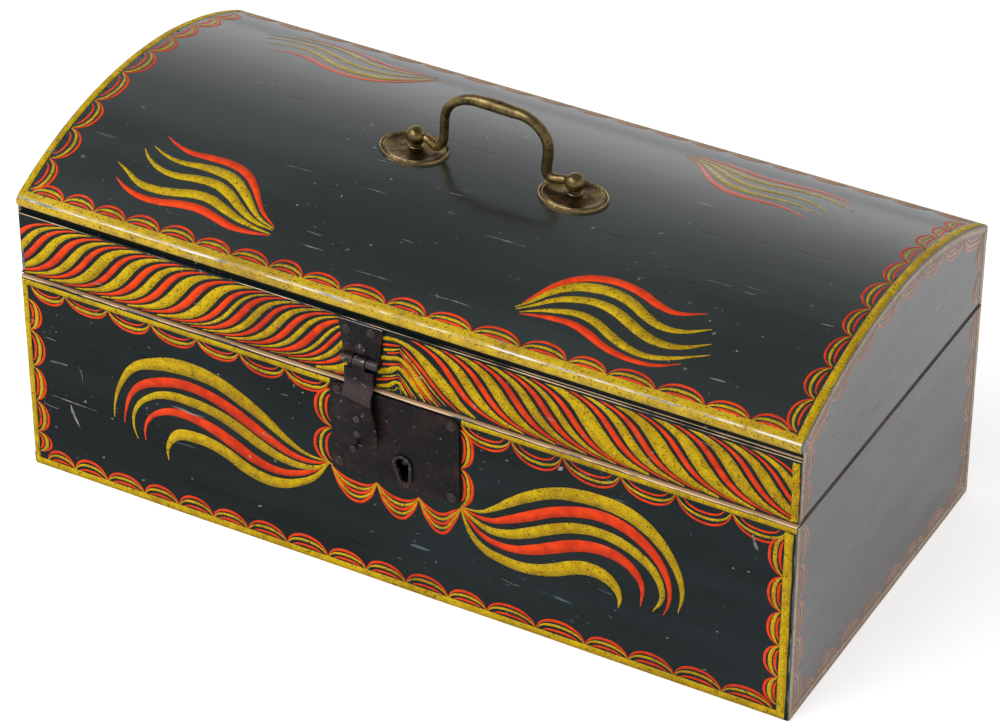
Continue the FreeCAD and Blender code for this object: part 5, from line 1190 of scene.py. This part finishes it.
def barrel(start, end):
    """A rolled knuckle along the length, with eased ends and a slight swell."""
    radius, ease = BARREL_RADIUS, BARREL_EASE
    profile = ((0, start), (radius - ease, start), (radius, start + ease), (radius*1.01, (start + end)/2),
               (radius, end - ease), (radius - ease, end), (0, end))
    return moved(lathe(profile, 36), pin_place, Matrix.Rotation(UPRIGHT, 4, "Y"))


def joined(shapes):
    """One bmesh from several."""
    return bmesh_of([mesh_of("part", shape) for shape in shapes])


leaf_outline = (
    (-LEAF_HALF, 0.2), (-3.9, 0.2), (-3.9, 3.1), (3.9, 3.1), (3.9, 0.2), (LEAF_HALF, 0.2), (10.4, 4.2),
    (10.8, 8.0), (11.5, 13.0), (12.4, leaf_top - 0.6), (12.0, leaf_top), (-12.3, leaf_top),
    (-12.7, leaf_top - 0.5), (-11.6, 13.4), (-10.8, 8.2), (-10.35, 4.0))
leaf = moved(sheet_metal([leaf_outline], LEAF_THICKNESS, LEAF_EDGE),
             Matrix.Translation((HASP_X, hasp_high.y - LEAF_THICKNESS/2*MM, HASP_Z)))
highlit_leaf = finished("worn_hasp_plate", "lid", leaf, (black_iron, bright_iron),
                     ("hasp_plate",))
# Painted highlight: the leaf's faces that look up and forward near its top take bright iron.
for polygon in highlit_leaf.data.polygons:
    if polygon.normal.z > 0.5 and polygon.normal.y < -0.1 and polygon.center.z > HASP_Z + HIGHLIGHT_FROM:
        polygon.material_index = 1
knuckle_start = MIDDLE_BARREL/2 + BARREL_GAP
finished("hasp_outer_knuckles", "lid",
         joined((barrel(-LEAF_HALF, -knuckle_start), barrel(knuckle_start, LEAF_HALF))), (worn_iron,))
for index, (x, z, size) in enumerate(LEAF_NAILS):
    studs(f"domed_hasp_nail_{index}", "lid", DOMED_NAIL,
          [((HASP_X + x*MM, hasp_high.y - LEAF_THICKNESS*MM, HASP_Z + z*MM), WAYS["front"])],
          ("hasp_plate_nails",) if index == 0 else (), (size, size))
dress(bright_iron, "hasp_pin")

strap = moved(sheet_metal([STRAP_TONGUE + STRAP_RIGHT + STRAP_LEFT], STRAP_THICKNESS, STRAP_EDGE),
              Matrix.Translation((0, (STRAP_THICKNESS/2 - BARREL_RADIUS)*MM, 0)))
for z in even(STEP_START, STEP_END, STEP_CUTS):
    bmesh.ops.bisect_plane(strap, geom=strap.verts[:] + strap.edges[:] + strap.faces[:], plane_co=(0, 0, z),
                           plane_no=(0, 0, 1))
for vertex in strap.verts:
    share = min(max((STEP_START - vertex.co.z)/(STEP_START - STEP_END), 0.0), 1.0)
    vertex.co.y -= STEP_OUT*share*share*(3 - 2*share)
finished("worn_hasp_strap", "hasp", moved(strap, pin_place), (strap_iron,), ("hasp_strap",))
finished("hasp_middle_knuckle", "hasp", barrel(-MIDDLE_BARREL/2, MIDDLE_BARREL/2),
         (worn_iron,))
staple = tube([(0, y*MM, z*MM, STAPLE_WIRE*MM) for y, z in (
    (STAPLE_START, STAPLE_TOP), (0, STAPLE_TOP), (STAPLE_END - STAPLE_BEND, STAPLE_TOP),
    (STAPLE_END, STAPLE_TOP - STAPLE_BEND), (STAPLE_END, STAPLE_FOOT + STAPLE_BEND),
    (STAPLE_END - STAPLE_BEND, STAPLE_FOOT), (0, STAPLE_FOOT), (STAPLE_START, STAPLE_FOOT))])
rivets = [moved(lathe(RIVET, 20), Matrix.Translation((0, strap_front, z*MM)), FACE_FRONT)
          for z in (STAPLE_TOP, STAPLE_FOOT)]
finished("worn_hasp_staple", "hasp", moved(joined([staple] + rivets), pin_place), (worn_iron,),
         ("hasp_staple",))
knob = moved(lathe(KNOB, 28), pin_place, Matrix.Translation((0, strap_front, KNOB_Z)), FACE_FRONT)
finished("turned_hasp_knob", "hasp", knob, (nail_iron,), ("hasp_knob",))

# Handle: cast brass, tarnished brown where fingers don't reach. Two dished oval rosettes with a corded rim
# are bent to the dome, a post with a ball stands on each, and the bail turns in the balls.
BRASS, BRASS_DARK, BRASS_BRIGHT = (0.22, 0.155, 0.058, 1), (0.038, 0.024, 0.011, 1), (0.58, 0.44, 0.23, 1)
HANDLE_Y, POST_X, BALL_RADIUS = -4.0*MM, 44.45*MM, 5.1
ROSETTE = ((0, 1.2), (2.6, 1.2), (4.6, 1.15), (6.2, 0.8), (8.5, 0.62), (11, 0.7), (13, 1.02), (13.9, 1.22),
           (14.4, 1.62), (15, 1.78), (15.6, 1.55), (15.9, 1.1), (16.1, 1))
CORD_RADII = (16.3, 16.6, 16.9, 17.2, 17.45, 17.5)
CORD_HEIGHT, CORD_FOOT, CORD_TURNS, CORD_STEPS = 1.75, 0.55, 88, 528
CORD_MIDDLE, CORD_HALF, CORD_SLANT = (CORD_RADII[0] + CORD_RADII[-1])/2, 0.72, 2.2
ROSETTE_RADIUS, SEAT_RADIUS, SEAT_BLEND = CORD_RADII[-1], 4.6, 4
ROSETTE_BACK = ((ROSETTE_RADIUS, 0.0), (17.0, -0.02))
ball_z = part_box("handle_post_left")[1].z/MM - BALL_RADIUS
apex_z = dome_high.z/MM

cast = Material("aged_brass", Metallic=0.92)
tarnish = cast.plus(cast.noise(130), cast.times(cast.noise(900), 0.5))
cast_colour = cast.blend(cast.ramp(tarnish, 0.62, 0.92), BRASS, BRASS_DARK)
exposed = cast.ramp(cast.node("ShaderNodeNewGeometry")["Pointiness"], 0.52, 0.60)
brass = cast.shade(Base_Color=cast.blend(cast.times(exposed, 0.6), cast_colour, BRASS_BRIGHT),
                   Roughness=cast.plus(0.11, cast.times(tarnish, 0.20)),
                   Normal=cast.bump(tarnish, 0.25, 0.2*MM))


def rosette(name, x, replaced):
    """A dished oval rosette, bent to the dome, with a ring and a rim like twisted cord. Its middle is round
    and lies under the post, and its rim follows the node that it replaces."""
    low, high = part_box(replaced)
    middle_y = (low.y + high.y)/2/MM
    wide, deep = (high.x - low.x)/2/MM/ROSETTE_RADIUS, (high.y - low.y)/2/MM/ROSETTE_RADIUS
    rings = []
    for radius, height in ROSETTE + tuple((radius, None) for radius in CORD_RADII) + ROSETTE_BACK:
        centred = max(0.0, 1 - max(0.0, radius - SEAT_RADIUS)/SEAT_BLEND)
        aim_y = middle_y + centred*(HANDLE_Y/MM - middle_y)
        ring = []
        for turn in even(0, math.tau, CORD_STEPS)[:-1 if radius else 1]:
            up = height
            if height is None:
                bulge = math.sqrt(max(0.0, 1 - ((radius - CORD_MIDDLE)/CORD_HALF)**2))
                twist = 0.5 + 0.5*math.cos(CORD_TURNS*turn + CORD_SLANT*(radius - CORD_MIDDLE))
                up = CORD_FOOT + (CORD_HEIGHT - CORD_FOOT)*bulge*(0.55 + 0.45*twist)
            across = radius*(wide + centred*(1 - wide))*math.cos(turn)*MM
            along = (aim_y + radius*(deep + centred*(1 - deep))*math.sin(turn))*MM
            reach, angle = DOME_RADIUS + up*MM, along/DOME_RADIUS
            ring.append((x + across, reach*math.sin(angle), DOME_CENTRE + reach*math.cos(angle)))
        rings.append(ring)
    finished(name, "lid", skinned(rings), (brass,), (replaced,), 40.0)


POST = ((0, -14.5), (2.35, -14.5), (2.4, 0.9), (3.7, 0.95), (3.8, 1.35), (3.4, 1.7), (2.75, 1.95),
        (2.6, 2.4))
post_profile = [(radius, apex_z + height) for radius, height in POST]
post_profile += [(BALL_RADIUS*math.cos(turn)**0.9, ball_z + BALL_RADIUS*(0.98*math.sin(turn)))
                 for turn in even(-0.86, UPRIGHT - 0.02, 16)] + [(0, ball_z + BALL_RADIUS)]
for side, sign in (("left", -1), ("right", 1)):
    rosette(f"corded_rosette_{side}", sign*POST_X, f"rosette_{side}")
    post = moved(lathe(post_profile, 48), Matrix.Translation((sign*POST_X, HANDLE_Y, 0)))
    finished(f"turned_post_{side}", "lid", post, (brass,), (f"handle_post_{side}",), 50.0)

# Knots of the bail: mm across, mm above the balls' middle and mm of radius.
BAIL_ROUTE = (
    (-43, 0, 1.9), (-39.6, 0, 1.9), (-39.3, 0, 2.2), (-38.4, -0.03, 2.35), (-35.6, -1.4, 2.4),
    (-33, -2.8, 2.4), (-30.7, -1.2, 2.4), (-29.2, 1.2, 2.35), (-28.5, 6.2, 2.35), (-28.2, 12.2, 2.35),
    (-27.5, 18, 2.4), (-24.6, 23.6, 2.5), (-19.8, 27.4, 2.6), (-13.8, 29.6, 2.85), (-6, 30.3, 3.25),
    (2, 30.2, 3.35), (10, 29.8, 3.2), (16.5, 29.3, 2.9), (21.9, 27, 2.75), (26.2, 23.2, 2.75),
    (28.8, 18.6, 2.8), (29.5, 13.4, 2.8), (29, 7.8, 2.8), (28.6, 3.4, 2.75), (29.4, -0.06, 2.7),
    (32, -1.1, 2.6), (35.4, -0.8, 2.45), (38.2, -0.06, 2.35), (39.3, 0, 2.2), (39.6, 0, 1.9), (43, 0, 1.9))
bail = tube([(x*MM, HANDLE_Y, (ball_z + z)*MM, radius*MM) for x, z, radius in BAIL_ROUTE], 5)
finished("cast_bail", "bail", bail, (brass,), ("bail",), 50.0)

# Nails of the boards, driven flush, and the plain fittings of the back and the inside.
NAIL_INSET, WALL_NAIL_SHARES, RAIL_NAIL_HEIGHTS = 5.0*MM, (0.22, 0.5, 0.78), (124.6*MM, 137.1*MM)
DOME_NAIL_SHARES = (-0.92, -0.64, -0.28, 0.04, 0.36, 0.66, 0.9)
BOTTOM_END_SHARES, BOTTOM_LONG_SHARES = (-0.22, 0.22), (-0.4, -0.2, 0, 0.2, 0.4)
wall_low, wall_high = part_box("front_board")
corner_places, rail_places, dome_places, bottom_places = [], [], [], []
for x in (NAIL_INSET - case_high.x, case_high.x - NAIL_INSET):
    for share in WALL_NAIL_SHARES:
        z = wall_low.z + share*(wall_high.z - wall_low.z)
        corner_places += [((x, case_low.y, z), WAYS["front"]), ((x, case_high.y, z), WAYS["back"])]
    for z in RAIL_NAIL_HEIGHTS:
        rail_places += [((x, rail_low.y, z), WAYS["front"]), ((x, back_high.y, z), WAYS["back"])]
    for share in DOME_NAIL_SHARES:
        y, z = on_dome(share*dome_high.y, DOME_RADIUS)
        dome_places.append(((x, y, z), Vector((0, y, z - DOME_CENTRE)).normalized()))
    bottom_places += [((x, share*(case_high.y - case_low.y), 0), WAYS["bottom"])
                      for share in BOTTOM_END_SHARES]
for y in (case_low.y + NAIL_INSET, case_high.y - NAIL_INSET):
    bottom_places += [((share*(case_high.x - case_low.x), y, 0), WAYS["bottom"])
                      for share in BOTTOM_LONG_SHARES]
for name, body, length, places in (("case_nails", "case", 24.0, corner_places),
                                   ("rail_nails", "lid", 24.0, rail_places),
                                   ("dome_nails", "lid", 19.0, dome_places),
                                   ("bottom_nails", "case", 24.0, bottom_places)):
    studs(f"cut_{name}", body, cut_nail(length), places, (name,), (1.0, 1.0), steps=12)
dress(bright_iron, "hinge_pins")
dress(nail_iron, "case_hinge_screws", "lid_hinge_screws", "post_washers", "post_nuts")
dress(worn_iron, "case_hinge_leaf_left", "case_hinge_leaf_right", "lid_hinge_leaf_left",
      "lid_hinge_leaf_right")
